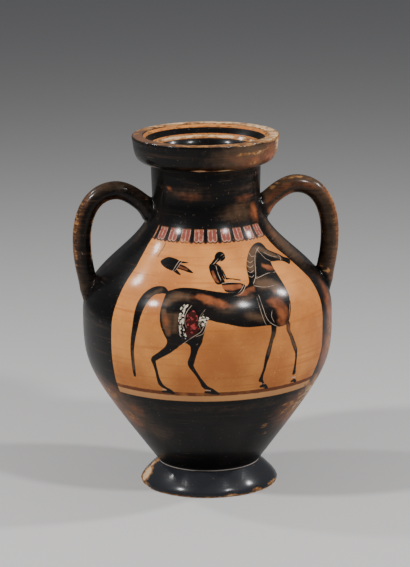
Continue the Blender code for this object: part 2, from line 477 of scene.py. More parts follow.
def in_order(vessel):
    """Numbers vertices and faces by their places, so that every run goes on from the same mesh."""
    mesh = vessel.data
    spots = places(vessel)
    order = np.lexsort(spots.T)
    rank = np.argsort(order)
    faces = []
    for face in mesh.polygons:
        ring = [int(rank[corner]) for corner in face.vertices]
        start = ring.index(min(ring))
        faces.append(ring[start:] + ring[:start])
    mesh.clear_geometry()
    mesh.from_pydata(spots[order], [], sorted(faces))
    mesh.update()


def build_vessel():
    vessel = turned("vessel", outside())
    for name, side in (("handle_right", 1), ("handle_left", -1)):
        worked(vessel, rolled_handle(name, side), "UNION")
    worked(vessel, turned("hollow", inside()), "DIFFERENCE")
    in_order(vessel)
    return vessel


vessel = build_vessel()

# The painter's drawing
# Drawings are set down in millimetres, x and z of a straight-on view of the panel.

REACH = 6.0
PAINTS = ("black", "red", "cream", "worn_red", "flecks", "wash", "ground", "strip")
SHEETS = ("line", "fine", "brush")
UPRIGHT = foot_side() + flank()[1:] + shoulder()[1:] + neck()[1:] + lip()[1:]
OUTER = np.array([tuple(p) for p in UPRIGHT]) * 1000
INNER = np.array([tuple(p) for p in inside()[:-3]]) * 1000


def outer_radius(height):
    return np.interp(height, OUTER[:, 1], OUTER[:, 0])


def radius_of(mm):
    return np.hypot(mm[:, 0], mm[:, 1])


def bearing_of(mm):
    """Degrees round the axis, 0 at the front and more toward the right handle."""
    return np.degrees(np.arctan2(mm[:, 0], -mm[:, 1]))


def flowing(points, closed=False, pace=1.2):
    """A smooth line through given points."""
    p = np.array(points, float)
    p = np.vstack([p[-1:], p, p[:2]]) if closed else np.vstack([2 * p[0] - p[1], p, 2 * p[-1] - p[-2]])
    rows = []
    for a, b, c, d in zip(p, p[1:], p[2:], p[3:]):
        count = max(int(np.linalg.norm((c - b)[:2]) / pace), 1)
        for t in np.arange(count) / count:
            bend = (2 * a - 5 * b + 4 * c - d) * t**2 + (3 * b - a - 3 * c + d) * t**3
            rows.append(b + 0.5 * ((c - a) * t + bend))
    rows.append(rows[0] if closed else p[-2])
    return np.array(rows)


def laid_on(line):
    """A drawn line laid on the curved wall, as places in millimetres."""
    radius = outer_radius(line[:, 1])
    x = np.clip(line[:, 0], -0.998 * radius, 0.998 * radius)
    return np.stack([x, -np.sqrt(radius**2 - x**2), line[:, 1]], 1)


def nearest(place, line):
    """Distance of each place from a line on the wall, the nearest stretch of it and the share along that."""
    best = np.full(len(place), 99.0)
    stretch = np.zeros(len(place), int)
    share = np.zeros(len(place))
    low = line.min(axis=0) - REACH - 1
    high = line.max(axis=0) + REACH + 1
    close = np.flatnonzero(((place > low) & (place < high)).all(axis=1))
    near = place[close]
    for i, (a, b) in enumerate(zip(line, line[1:])):
        run = b - a
        t = np.clip((near - a) @ run / max(run @ run, 1e-9), 0, 1)
        gap = np.linalg.norm(near - a - t[:, None] * run, axis=1)
        better = gap < best[close]
        best[close[better]] = gap[better]
        stretch[close[better]] = i
        share[close[better]] = t[better]
    return best, stretch, share


def stroke(place, points):
    """Depth inside a brush stroke, given as x, z and half width at each point."""
    line = flowing(points)
    gap, stretch, share = nearest(place, laid_on(line))
    width = line[stretch, 2] * (1 - share) + line[np.minimum(stretch + 1, len(line) - 1), 2] * share
    return np.maximum(width - gap, -REACH)


def filled(place, points):
    """Depth inside a closed outline."""
    line = flowing(points, closed=True)
    gap, _, _ = nearest(place, laid_on(line))
    x, z = place[:, 0], place[:, 2]
    within = np.zeros(len(place), bool)
    for (x0, z0), (x1, z1) in zip(line[:, :2], line[1:, :2]):
        if z0 == z1:
            continue
        crossing = (z0 > z) != (z1 > z)
        within ^= crossing & (x < x0 + (z - z0) / (z1 - z0) * (x1 - x0))
    return np.clip(np.where(within, gap, -gap), -REACH, REACH)


def joined(a, b, softness=1.6):
    """Two shapes as one, with a soft inner corner."""
    share = np.clip(0.5 + 0.5 * (a - b) / softness, 0, 1)
    return b + (a - b) * share + softness * share * (1 - share)


def groove(sheet, place, points):
    """Adds a thin line to a sheet of lines: which side of it a place lies on, and how near."""
    line = laid_on(flowing(points))
    gap, stretch, _ = nearest(place, line)
    run = line[stretch + 1] - line[stretch]
    away = place - line[stretch]
    outward = place * (1, 1, 0)
    side = np.sign(np.einsum("ij,ij->i", np.cross(run, away), outward))
    closer = gap < sheet["near"]
    sheet["near"][closer] = gap[closer]
    sheet["side"][closer] = (gap * side)[closer]


def blank(count):
    return {"near": np.full(count, REACH), "side": np.full(count, REACH)}


HORSE_TRUNK = [
    (-50.5, 209), (-46, 211.2), (-38, 213.2), (-28, 213.4), (-16, 212), (-4, 210.2), (8, 209), (18, 210.5),
    (25.5, 215), (26, 221), (25.6, 227), (27.5, 233.5), (31.5, 240), (37, 244), (42.5, 244.3), (46.5, 241.5),
    (50, 236), (50.5, 230), (52.5, 224), (57, 216), (61.5, 208), (64.5, 200), (65, 192), (63.6, 184),
    (60.5, 177.5), (55, 175.8), (49, 176), (43, 178.3), (34, 178.6), (22, 178.8), (12, 180.4), (2, 183),
    (-8, 185.2), (-16, 187), (-18.5, 180), (-20.5, 172), (-24, 163), (-28.5, 160), (-33, 163.5), (-37, 165.8),
    (-42, 163), (-48, 159), (-53.5, 160.5), (-53, 167), (-56, 174), (-58.3, 181), (-58.6, 188), (-57.4, 195),
    (-54.5, 202),
]
HORSE_LIMBS = [
    [(-47, 165, 5.0), (-52.5, 158.6, 3.6), (-58.5, 153.6, 2.7), (-64.6, 148.6, 2.3), (-64.6, 145.6, 1.8),
     (-62.6, 138, 1.2), (-60.8, 130, 1.3), (-58.8, 124.5, 1.9), (-56.4, 121.7, 1.5)],
    [(-56.5, 121.9, 1.2), (-52.8, 119.6, 1.1), (-49.8, 117.6, 1.5), (-47, 115.3, 1.2)],
    [(-56.4, 116.0, 0.8), (-52, 116.5, 1.3), (-48, 115.5, 1.0)],
    [(-28, 168, 6.5), (-28.6, 161, 3.6), (-29.8, 154.5, 2.6), (-32, 147, 2.8), (-31.4, 143, 2.0),
     (-27, 136, 1.3), (-22.6, 129, 1.5), (-19.6, 124, 2.2), (-17.2, 121.6, 1.6)],
    [(-17, 122, 1.5), (-13, 119.5, 1.9), (-9.6, 117, 1.7), (-6.2, 115.3, 1.0)],
    [(-18.2, 117.4, 1.0), (-14, 117.2, 1.5), (-10, 115.8, 1.2)],
    [(46.5, 177, 2.6), (46, 171, 2.0), (43.8, 163, 1.6), (41.6, 155, 2.0), (39.8, 149, 2.0),
     (38.4, 144, 1.4), (36.8, 137, 1.1), (34.8, 131, 1.2), (33.7, 126.4, 2.0)],
    [(34.6, 126, 1.0), (36.2, 122.8, 0.8)], [(34.4, 119.6, 1.3), (37.2, 120, 1.9), (40, 117.2, 1.2)],
    [(61, 177, 2.0), (61.6, 170, 1.0), (64.4, 164, 1.7), (66.4, 158, 2.0), (68.8, 151.5, 1.9),
     (69.6, 147.4, 1.2), (69.4, 141, 0.9), (68.6, 134, 1.1), (67.9, 127.4, 2.0)],
    [(65.8, 118.7, 1.0), (68, 119.4, 1.6), (70.4, 117.2, 1.0)],
]
LIMB_EASE = 0.25
HORSE_TAIL = [
    (-51.6, 209.8, 2.6), (-54.6, 210.6, 4.0), (-61, 209.4, 4.4), (-67.5, 205, 4.8), (-73.6, 197.4, 4.7),
    (-77.6, 188, 3.9), (-80.2, 177, 3.1), (-82, 166, 2.6), (-82.9, 155, 2.1), (-82.4, 144, 1.9),
    (-81.6, 136, 1.8), (-80.7, 129.4, 1.4),
]
HORSE_HEAD = [
    (40, 243.5), (45, 242.5), (49, 238.4), (55, 235), (61, 232), (66, 229), (70.5, 227), (72.4, 224.8),
    (70.6, 222.8), (68, 224.4), (64, 226.4), (58.5, 227.8), (53, 228.3), (49, 229.6), (44, 232.5),
    (40.5, 237),
]


def horse(place):
    """A standing horse in black, from the tail on the left to the muzzle on the right."""
    shape = joined(filled(place, HORSE_TRUNK), filled(place, HORSE_HEAD))
    for limb in HORSE_LIMBS:
        shape = joined(shape, stroke(place, limb) + LIMB_EASE, 1.0)
    return joined(shape, stroke(place, HORSE_TAIL), 0.6)


RIDER_HAIR = [
    (-3, 235), (-2.6, 238.4), (0.8, 240.8), (4.6, 240.6), (6.6, 238.6), (6.8, 236), (5, 234.2),
    (1.6, 233.4),
]
RIDER_NAPE = [(0.5, 236.4, 2.6), (-3.4, 233.4, 2.2), (-6.8, 230.8, 1.5)]
RIDER_TORSO = [
    (-9.6, 227), (-9.4, 230.2), (-6.8, 232.4), (-2.8, 232), (0.2, 230.2), (0.8, 226), (1.2, 222),
    (2.6, 219.4), (3.4, 217.4), (0, 216.2), (-4.2, 215.9), (-6.6, 219), (-8.6, 223),
]
RIDER_ARM = [
    (0, 228.8, 1.7), (2.2, 224.4, 1.8), (4, 220.6, 1.5), (7, 220, 0.8), (12, 219.4, 0.7),
    (18, 218.2, 0.8),
]
RIDER_THIGH = [
    (0, 215.8), (1.6, 211.4), (5, 209.4), (12, 209), (18, 209.6), (23, 212.6), (19, 215.6), (12, 216.6),
    (5, 217),
]


def rider(place):
    shape = joined(filled(place, RIDER_HAIR), stroke(place, RIDER_NAPE), 1.0)
    shape = joined(shape, filled(place, RIDER_TORSO), 0.8)
    shape = np.maximum(shape, filled(place, RIDER_THIGH))
    return np.maximum(shape, stroke(place, RIDER_ARM))


BUD = [
    (-52.3, 231.6), (-49, 234.2), (-44.4, 235.9), (-39.8, 235.4), (-35.4, 233.4), (-37.6, 229),
    (-41, 225.8), (-46, 226.4), (-50.4, 228.6),
]
BUD_PETALS = [
    [(-37, 232.8, 1.6), (-32, 232.6, 1.1), (-28, 232.4, 0.5)],
    [(-38, 229.6, 3.0), (-32.4, 228.2, 2.5), (-28, 226.2, 1.7), (-25.2, 225, 0.6)],
    [(-41, 226.8, 1.8), (-38.6, 224.6, 1.4), (-36.6, 223.2, 0.7)],
]


def bud(place):
    shape = filled(place, BUD)
    for petal in BUD_PETALS:
        shape = np.maximum(shape, stroke(place, petal))
    return shape


# Incised lines, in sheets, so that lines that cross or run close don't share one
MANE_LINES = [
    [(40.6, 240.4), (36.8, 236.6), (35, 231), (34.3, 225), (33.3, 219.6), (30.4, 214.8)],
    [(54, 220.4), (46, 220.6), (38.5, 219.2), (34, 218.2)],
    [(34, 204.6), (35.4, 199), (37.2, 193), (38.6, 188), (41.2, 183), (45.4, 179), (50.6, 176)],
    [(-30.2, 198.8), (-33.4, 195.6), (-36, 191), (-36.8, 186), (-35.8, 181)],
    [(-18.3, 195.4), (-21.6, 192), (-24.2, 188), (-24.7, 184), (-23.5, 181)],
    [(-38.4, 165.4), (-33, 169.6), (-27.6, 173.3), (-22.8, 176.6), (-20.4, 180.6), (-16.7, 185.4)],
    [(65, 200), (64, 192), (62.8, 185), (60.8, 179)],
    [(5.4, 239), (1.6, 237), (-1.8, 234), (-4.6, 231.8)],
    [(-3, 229.8), (-2.2, 224.6), (-0.4, 219.4)],
    [(-42.6, 225.8), (-38.6, 230.4), (-35.2, 234)],
    [(1, 216.7), (7, 217.2), (13, 217.2), (19, 217.8)],
    [(23, 214.8), (20, 210.4), (16.4, 207.4), (10.4, 206.4)],
    [(46.2, 235.8), (51.6, 232.8), (57, 230.8)],
    [(60.6, 231.2), (62.4, 229.4), (62, 227.6)],
]
SECOND_LINES = [
    [(31, 212.8), (37, 211.3), (43, 210.6), (49.6, 210.8)],
    [(31.8, 203), (33.4, 196), (35.2, 189), (37, 183.6), (38.6, 179.8)],
    [(-20, 191.6), (-22.2, 188.4), (-22.4, 184.6)],
    [(-26.4, 172.4), (-21.2, 174.6), (-18.9, 179), (-17.6, 183)],
    [(38.4, 240), (42.4, 235.4), (46, 231.6), (50, 229.4)],
    [(6.4, 237.4), (3.2, 235.4), (0.2, 233)],
    [(1.6, 228), (3.2, 223), (4.4, 219.8)],
    [(-40.4, 226), (-36.8, 229.8), (-33.6, 233)],
    [(20.4, 214), (17.6, 210.6), (14.4, 208.6)],
    [(27, 232.4), (30, 230.4), (32.6, 231.4)],
    [(26.6, 228.4), (29.4, 226.8), (32.4, 228)],
    [(26.6, 224.4), (29, 223), (32, 224.2)],
    [(27.4, 220.4), (29.4, 219.4), (31.6, 220.6)],
    [(30.4, 237.4), (32.6, 234.6), (35, 235)],
    [(45.2, 190), (44.6, 186), (46.6, 181.6)],
]
HAUNCH_FLECKS = [
    (-32.6, 199.8, 1.0), (-37, 197.6, 1.9), (-39.4, 191, 2.3), (-40, 184, 2.3), (-39.6, 178, 2.2),
    (-38.6, 171.6, 2.8),
]
FLANK_FLECKS = [
    (-23.6, 188.6), (-20.4, 191), (-16.8, 189.8), (-14.8, 188.6), (-17.6, 185), (-20.6, 181.4),
    (-23.4, 183.4),
]
HAUNCH_RED = [
    (-33, 193), (-28.4, 195), (-25.2, 190), (-26, 184), (-24.4, 179), (-28.6, 173), (-33, 170),
    (-36, 173.4), (-36, 181), (-35.2, 188),
]
# Soft stains of the gloss: how strong, over how many millimetres it fades, and its strokes
BROWN_STAINS = [
    (1.0, 8, [(-52, 200, 3), (-44, 206, 4), (-33, 206, 3)]),
    (1.0, 4, [(-54.6, 194, 2.4), (-54.4, 184, 3), (-52, 174, 2.4)]),
    (0.8, 8, [(-12, 200, 2), (2, 196, 3), (14, 200, 3), (26, 205, 3)]),
    (1.0, 10, [(36, 214, 5), (48, 212, 6), (58, 205, 5)]),
    (1.0, 6, [(30, 226, 4), (32, 236, 4), (40, 240, 3), (50, 235, 3), (62, 229, 2)]),
    (0.7, 5, [(46, 170, 2), (41, 152, 2)]), (0.9, 5, [(60, 176, 2), (64, 164, 2), (69, 152, 2)]),
    (0.7, 8, [(22, 190, 4), (34, 186, 4)]), (0.7, 5, [(-82, 152, 2), (-82, 136, 2)]),
    (0.8, 8, [(-44, 190, 4), (-46, 178, 4)]), (0.6, 6, [(-56, 210, 3), (-68, 204, 3)]),
]
RUST_STAINS = [
    (0.95, 1.4, [(-6.8, 226, 1.2), (-5.4, 220.4, 1.7), (-3, 217.8, 1.0)]),
    (1.0, 1.6, [(1, 213.6, 2.6), (9, 213, 3.2), (17, 213.6, 2.4)]),
    (0.66, 1.6, [(-36, 229, 1.4), (-30, 227.4, 1.4)]), (0.9, 0.8, [(7, 219.7, 0.4), (17, 218.4, 0.4)]),
    (0.8, 2.0, [(64.6, 164, 0.5), (61.8, 171, 0.8), (61.4, 176, 1.0)]),
    (0.6, 2.4, [(48.6, 172, 0.8), (46.6, 164, 0.5)]),
    (0.9, 2.4, [(14, 206.6, 1.4), (22, 208.4, 3), (29, 211, 2.4)]),
    (0.95, 5, [(-53.6, 191, 1.4), (-53.6, 183, 2.2), (-51, 175, 1.4)]),
    (0.6, 8, [(-46, 204, 2), (-38, 207, 2)]),
    (1.3, 4.0,
     [(-29, 208.0, 0.8), (-20, 206.2, 3.0), (-10, 203.0, 3.6), (-1, 199.6, 3.0), (7, 196.4, 0.8)]),
    (1.2, 4.0, [(43, 226.6, 1.4), (47, 224.8, 3.2), (51.6, 223.6, 2.0)]),
    (1.2, 6.0, [(44, 199, 3), (52, 196, 6), (57, 188.4, 5.4), (55, 180.6, 4.6)]),
    (0.8, 7, [(50, 206, 2), (60, 203, 2)]),
]
PASTERNS = [
    [(-56.4, 118.9, 0.7), (-53.4, 118, 0.6)], [(-17.4, 119.4, 0.8), (-14, 119, 0.6)],
    [(34.2, 122.8, 0.6), (37.6, 121.9, 0.6)], [(66, 122.8, 0.8), (69.6, 122.2, 0.8)],
]
BRUSH_LINES = [
    [(-45.6, 246), (-48, 241.8), (-51.8, 238), (-54.2, 234.6)],
    [(59.6, 176), (59.8, 171), (62.6, 166)],
    [(63.2, 176), (63, 171), (64.8, 166.4)],
    [(48.9, 176), (48.4, 171), (46.6, 166)],
]
# Edges of the panels: heights, and degrees from the middle
BACK_EDGE = [(107, 56), (262, 57)]
LEFT_EDGE = [(107, 58.5), (130, 57), (160, 57), (195, 56), (225, 57), (243, 61), (262, 60)]
RIGHT_EDGE = [
    (107, 52), (122, 53.5), (145, 57), (179, 57.5), (208, 59.5), (228, 56), (236, 53), (243, 51.5),
    (262, 50.5),
]


def stained(place, stains):
    """How strongly soft stains colour each place."""
    shares = [amount * np.clip(0.5 + stroke(place, points) / fade, 0, 1) for amount, fade, points in stains]
    return np.maximum.reduce(shares)


def haze(bearing, height, at, level, wide, tall, amount=1.0):
    """A soft patch round a bearing and a height of the wall."""
    return amount * np.exp(-(((bearing - at) / wide) ** 2 + ((height - level) / tall) ** 2))


def panel(place, left, right):
    """Depth inside the unpainted panel, in millimetres."""
    bearing = bearing_of(place)
    left = np.array(left)
    right = np.array(right)
    from_left = bearing + np.interp(place[:, 2], left[:, 0], left[:, 1])
    from_right = np.interp(place[:, 2], right[:, 0], right[:, 1]) - bearing
    across = np.minimum(from_left, from_right) * np.pi / 180 * radius_of(place)
    return np.minimum(across, np.minimum(PANEL_TOP - place[:, 2], place[:, 2] - PANEL_FOOT))


def tongues(place):
    """The band of tongues under the neck: red cores, their pale edges, black ones between and outlines."""
    radius = radius_of(place)
    turn = (bearing_of(place) - FIRST_TONGUE + TONGUE_PERIOD / 2) % TONGUE_PERIOD - TONGUE_PERIOD / 2
    from_black = turn * np.pi / 180 * radius
    from_middle = TONGUE_PERIOD / 2 * np.pi / 180 * radius - abs(from_black)
    height = place[:, 2]

    def tongue(across, end, width):
        return width - np.hypot(across, np.maximum(end - height, 0))

    from_core = from_middle - TONGUE_SPREAD
    red = tongue(from_core, RED_END, RED_HALF)
    pale = tongue(from_core, RED_END, PALE_HALF)
    black = tongue(from_black, BLACK_END, BLACK_HALF)
    outline = np.maximum(tongue(from_core, RED_END, OUTLINE_HALF), black + OUTLINE_WIDTH)
    here = height > TONGUE_FOOT - TONGUE_ROOM
    return [np.where(here, layer, -REACH) for layer in (red, pale, black, outline)]


# Soft stains of the wall: bearing, height, how wide in degrees, how tall in millimetres and how strong
BROWN_WALL = [
    (-64, 84, 20, 30, 0.85), (-46, 66, 16, 14, 0.56), (0, 98, 60, 6, 0.35), (40, 294, 30, 6, 0.42),
    (46, 303, 26, 3, 0.40), (34, 283, 26, 3, 0.5), (28, 272, 24, 10, 0.66), (-30, 292, 30, 7, 0.45),
    (70, 238, 14, 24, 0.8), (30, 326, 34, 18, 0.95), (58, 84, 22, 26, 0.9), (-110, 200, 14, 60, 0.3),
    (120, 120, 30, 40, 0.5), (160, 70, 30, 20, 0.6), (-150, 290, 30, 20, 0.6), (100, 300, 40, 14, 0.5),
    (-84, 250, 8, 20, 0.4), (70, 60, 14, 20, 0.5), (-92, 190, 9, 50, 0.4),
]
RUST_WALL = [
    (-84, 94, 18, 22, 1.25), (-66, 106, 10, 8, 0.8), (-66, 74, 12, 12, 0.95), (-54, 90, 9, 6, 0.7),
    (50, 270, 8, 9, 1.0), (36, 282, 12, 5, 0.4), (66, 325, 26, 14, 1.2), (36, 322, 20, 8, 0.8),
    (20, 328, 18, 5, 0.5), (70, 170, 7, 30, 1.25), (66, 134, 9, 24, 1.25), (60, 112, 6, 7, 0.9),
    (72, 134, 10, 22, 1.15), (58, 84, 22, 24, 1.05), (66, 250, 8, 14, 0.5), (130, 90, 16, 14, 0.6),
    (-140, 318, 20, 8, 0.4), (-50, 296, 4, 1.8, 0.9), (40, 286, 20, 2, 0.6), (-26, 290.6, 18, 1.4, 0.56),
    (-24, 286.2, 16, 1.2, 0.46),
]
BARE_WALL = [
    (65, 99, 17, 18, 1.02), (55, 85, 16, 13, 0.84), (44, 94, 9, 5, 0.6), (29, 71, 10, 4, 0.60),
    (36, 62, 8, 3, 0.56), (72, 330, 12, 13, 1.0), (70, 321, 9, 6, 0.6), (24, 330.6, 9, 3.0, 0.9),
    (37, 330.4, 10, 2.8, 0.86), (50, 333, 8, 3, 0.7), (34, 321, 10, 2.4, 0.72), (56, 338, 12, 1.6, 0.8),
    (-58, 317, 5, 2.2, 0.9), (-50, 296, 3, 1.2, 0.7), (-88, 8.5, 13, 8, 1.25), (-93, 18, 8, 7, 0.95),
    (-76, 3, 9, 3, 0.8), (11, 1.6, 9, 2.4, 0.8), (37, 2.6, 8, 2.4, 0.8), (60, 3, 13, 2.4, 0.8),
    (150, 3, 16, 3, 0.8), (-160, 334, 12, 4, 0.7), (120, 318, 10, 4, 0.6), (-90, 98, 13, 16, 0.86),
    (-84, 76, 11, 14, 0.82), (-72, 98, 10, 9, 0.76), (-64, 78, 9, 10, 0.62), (77, 160, 5, 26, 0.62),
    (73, 126, 9, 12, 0.66), (-13, 315.4, 8, 1.7, 1.25), (8, 315.4, 10, 1.5, 1.1), (69, 150, 6, 34, 0.62),
]
# The same along a handle: from, to, from the inner side, to the outer side and how strong
RIGHT_HANDLE_BARE = [
    (0.08, 0.40, 0.62, 2, 0.46), (0.40, 0.84, 0.80, 2, 0.70), (0.04, 0.20, -2, -0.75, 0.5),
    (0.52, 0.72, -2, -0.8, 0.6), (0.90, 1, -2, 0.4, 0.5), (0.55, 0.75, 0.2, 0.8, 0.36),
]
RIGHT_HANDLE_RUST = [
    (0.02, 0.40, -0.2, 0.6, 0.5), (0, 0.24, -2, -0.5, 0.9), (0.4, 0.8, 0.5, 2, 0.6),
    (0.8, 1, 0.2, 2, 0.4),
]
LEFT_HANDLE_BARE = [(0.30, 0.82, -2, -0.80, 0.78), (0.42, 0.85, 0.55, 2, 0.44), (0, 0.12, 0.2, 2, 0.5)]
LEFT_HANDLE_RUST = [(0.2, 0.5, -2, -0.5, 0.4), (0.4, 0.9, 0.3, 2, 0.3)]
# Shares over which a handle's wear fades, and the millimetres from the wall over which it comes in
END_FADE = 0.05
SIDE_FADE = 0.25
ROOT_FADE = 6


def along_handle(mm):
    """Share of the way along the nearest handle, and how far out of its inner side, -1 to 1."""
    path = np.array([tuple(p) for p in handle_path()]) * 1000
    across = np.stack([abs(mm[:, 0]), mm[:, 2]], 1)
    ring = np.linalg.norm(across[:, None] - path[None], axis=2).argmin(axis=1)
    run = np.gradient(path, axis=0)
    run /= np.linalg.norm(run, axis=1)[:, None]
    outward = np.stack([-run[:, 1], run[:, 0]], 1)
    past = across - path[ring]
    step = np.einsum("ij,ij->i", past, run[ring]) / (HANDLE_PACE * 1000)
    out = np.einsum("ij,ij->i", past, outward[ring]) / (HANDLE_THICKNESS * 500)
    return (ring + np.clip(step, -0.5, 0.5)) / (len(path) - 1), out


# Where the inner wall, the floor, the outer wall and the handles are found, in millimetres
NEAR_INNER = 1.2
FLOOR_HEIGHTS = (12, 32)
FLOOR_SIDE = 45
NEAR_OUTER = 0.6
OFF_WALL = 0.15
HANDLES_FROM = 46
HANDLE_HEIGHTS = (170, 303)


def level_with(mm, heights):
    return (mm[:, 2] > heights[0]) & (mm[:, 2] < heights[1])


def near_inside(mm):
    """Which places lie on the inside of the vessel."""
    radius = radius_of(mm)
    by_wall = abs(radius - np.interp(mm[:, 2], INNER[:, 1], INNER[:, 0])) < NEAR_INNER
    return by_wall | (level_with(mm, FLOOR_HEIGHTS) & (radius < FLOOR_SIDE))


def off_wall(mm, inner):
    """Which places lie on a handle."""
    beyond = radius_of(mm) > outer_radius(mm[:, 2]) + OFF_WALL
    return ~inner & beyond & (abs(mm[:, 0]) > HANDLES_FROM) & level_with(mm, HANDLE_HEIGHTS)


def weather(layers, mm, inner, bearing, height):
    """Where the gloss fired brown or rust, and where it has worn down to the clay."""
    for name, patches in (("brown", BROWN_WALL), ("rust", RUST_WALL), ("bare", BARE_WALL)):
        soft = np.maximum.reduce([haze(bearing, height, *patch) for patch in patches])
        layers[name] = np.where(inner, layers[name], np.maximum(layers[name], soft))
    which = np.flatnonzero(off_wall(mm, inner))
    along, out = along_handle(mm[which])
    right = mm[which, 0] > 0

    def stretches(marks):
        shares = [np.zeros(len(which))]
        for start, end, side_from, side_to, amount in marks:
            ends = np.clip(np.minimum(along - start, end - along) / END_FADE + 0.5, 0, 1)
            side = np.clip(np.minimum(out - side_from, side_to - out) / SIDE_FADE + 0.5, 0, 1)
            shares.append(amount * ends * side)
        return np.maximum.reduce(shares)

    strand = {
        "bare": np.where(right, stretches(RIGHT_HANDLE_BARE), stretches(LEFT_HANDLE_BARE)),
        "rust": np.where(right, stretches(RIGHT_HANDLE_RUST), stretches(LEFT_HANDLE_RUST)),
        "brown": np.where(right, 0.45, 0.2) + 0.3 * np.clip(out, 0, 1),
    }
    from_wall = radius_of(mm[which]) - outer_radius(height[which])
    share = np.clip(from_wall / ROOT_FADE, 0, 1)
    for name, amount in strand.items():
        layers[name][which] += (amount - layers[name][which]) * share


def paint_picture(layers, sheets, which, place):
    """What only the front's picture has, besides its rider and bud: stains, added red and white, and incised
    lines.
    """
    layers["brown"][which] = stained(place, BROWN_STAINS)
    layers["rust"][which] = stained(place, RUST_STAINS)
    bands = np.maximum.reduce([stroke(place, band) for band in PASTERNS])
    layers["cream"][which] = np.maximum(layers["cream"][which], bands)
    layers["worn_red"][which] = filled(place, HAUNCH_RED)
    layers["flecks"][which] = np.maximum(stroke(place, HAUNCH_FLECKS), filled(place, FLANK_FLECKS))
    for sheet, lines in zip(sheets, (MANE_LINES, SECOND_LINES, BRUSH_LINES)):
        part = {key: values[which] for key, values in sheet.items()}
        for line in lines:
            groove(part, place, line)
        for key in part:
            sheet[key][which] = part[key]


def paint_panel(layers, sheets, mm, skin, back):
    """The panel of one side: its edge, tongues, figures and ground line."""
    turn = -1 if back else 1
    in_reach = level_with(mm, PAINT_HEIGHTS) & (turn * mm[:, 1] < -PANEL_FRONT)
    which = np.flatnonzero(skin & in_reach)
    place = mm[which] * (turn, turn, 1)
    edges = (BACK_EDGE, BACK_EDGE) if back else (LEFT_EDGE, RIGHT_EDGE)
    open_panel = panel(place, *edges)
    inside_panel = open_panel - PANEL_MARGIN
    red, pale, black, outline = tongues(place)
    figures = horse(place)
    if not back:
        figures = np.maximum(figures, rider(place))
        figures = np.maximum(figures, bud(place))
    ink = np.minimum(np.maximum(figures, black), inside_panel + 2 * PANEL_MARGIN)
    layers["black"][which] = np.clip(np.maximum(-open_panel, ink), -REACH, REACH)
    layers["red"][which] = np.minimum(red, inside_panel)
    layers["cream"][which] = np.minimum(pale, inside_panel)
    layers["wash"][which] = np.minimum(outline, open_panel)
    layers["ground"][which] = GROUND_HALF - abs(place[:, 2] - GROUND_LINE)
    layers["strip"][which] = STRIP_TOP - place[:, 2]
    if not back:
        paint_picture(layers, sheets, which, place)


# Depths under the rim, in millimetres: of the mouth's bands, the bare inside, the rim's top and its flat
MOUTH_DEPTH = 24
BAND_DEPTH = 6.1
BAND_HALF = 2.6
LOWER_BAND = 12.8
DRY_DEPTH = 50
RIM_DEPTH = 1.9
RIM_INSIDE = 58
FLAT_DEPTH = 0.3
# Wear of the rim's top and edge, and patches where there is less or more of it, as for the wall
RIM_BARE = 0.88
RIM_KEPT = ((-80, 0, 46, 9, 0.62), (10, 0, 50, 9, 0.28))
EDGE_BARE = 0.30
EDGE_WORN = (66, 0, 44, 9, 0.30)


def finish_mouth(layers, inner, radius, bearing, height):
    """Black and bare bands inside the mouth, by depth under the rim, and the worn rim."""
    depth = RIM_Z * 1000 - height
    mouth = inner & (depth < MOUTH_DEPTH)
    layers["black"][mouth] = np.maximum(BAND_HALF - abs(depth - BAND_DEPTH), depth - LOWER_BAND)[mouth]
    layers["bare"][mouth] = (0.95 * np.clip(-layers["black"], 0, 1))[mouth]
    layers["black"][inner & (depth > DRY_DEPTH)] = -REACH
    layers["brown"][inner & (depth > MOUTH_DEPTH)] = 0.5
    rim_top = (depth < RIM_DEPTH) & (radius > RIM_INSIDE)
    worn_rim = RIM_BARE - haze(bearing, depth, *RIM_KEPT[0]) - haze(bearing, depth, *RIM_KEPT[1])
    worn_edge = EDGE_BARE + haze(bearing, depth, *EDGE_WORN)
    outermost = radius > LIP_RADIUS * 1000 - 1.2
    on_edge = depth > np.where(outermost, 0.4, 1.4)
    layers["bare"][rim_top] = np.where(on_edge, worn_edge, worn_rim)[rim_top]
    flat = rim_top & (depth < FLAT_DEPTH)
    layers["brown"][flat] = 0.9
    layers["rust"][flat] = 0.4


# Foot, in millimetres: the underside's height and margin, the half width of the painted highlight along the
# joint's crease, and the worn edge
SOLE_LEVEL = 12
SOLE_MARGIN = 3
JOINT_HIGHLIGHT_HALF = 1.5
WORN_HEIGHT = 1.0
WORN_FROM = 56
WORN_SOLE = 0.78


def finish_foot(layers, inner, radius, height):
    """The unpainted underside, a painted blue-grey sheen on the foot, a painted highlight along the crease of
    its joint, and its worn edge.
    """
    underside = (height < SOLE_LEVEL) & (radius < outer_radius(height) - SOLE_MARGIN) & ~inner
    layers["black"][underside] = -REACH
    for name in ("bare", "rust", "brown"):
        layers[name][underside] = 0.1
    joint = FOOT_HEIGHT * 1000
    # A pale line painted along the crease where the foot meets the body stands for a highlight there
    layers["joint_highlight"] = np.clip(1.0 - abs(height - joint) / JOINT_HIGHLIGHT_HALF, 0, 1)
    layers["joint_highlight"][(height < SOLE_LEVEL) | inner] = 0
    sole_edge = (height < WORN_HEIGHT) & (radius > WORN_FROM)
    layers["bare"][sole_edge] = np.maximum(layers["bare"][sole_edge], WORN_SOLE)
    # A blue-grey sheen painted into the gloss of the foot, below its joint
    layers["foot_sheen"] = np.clip((joint + 0.6 - height) / 0.8, 0, 1)


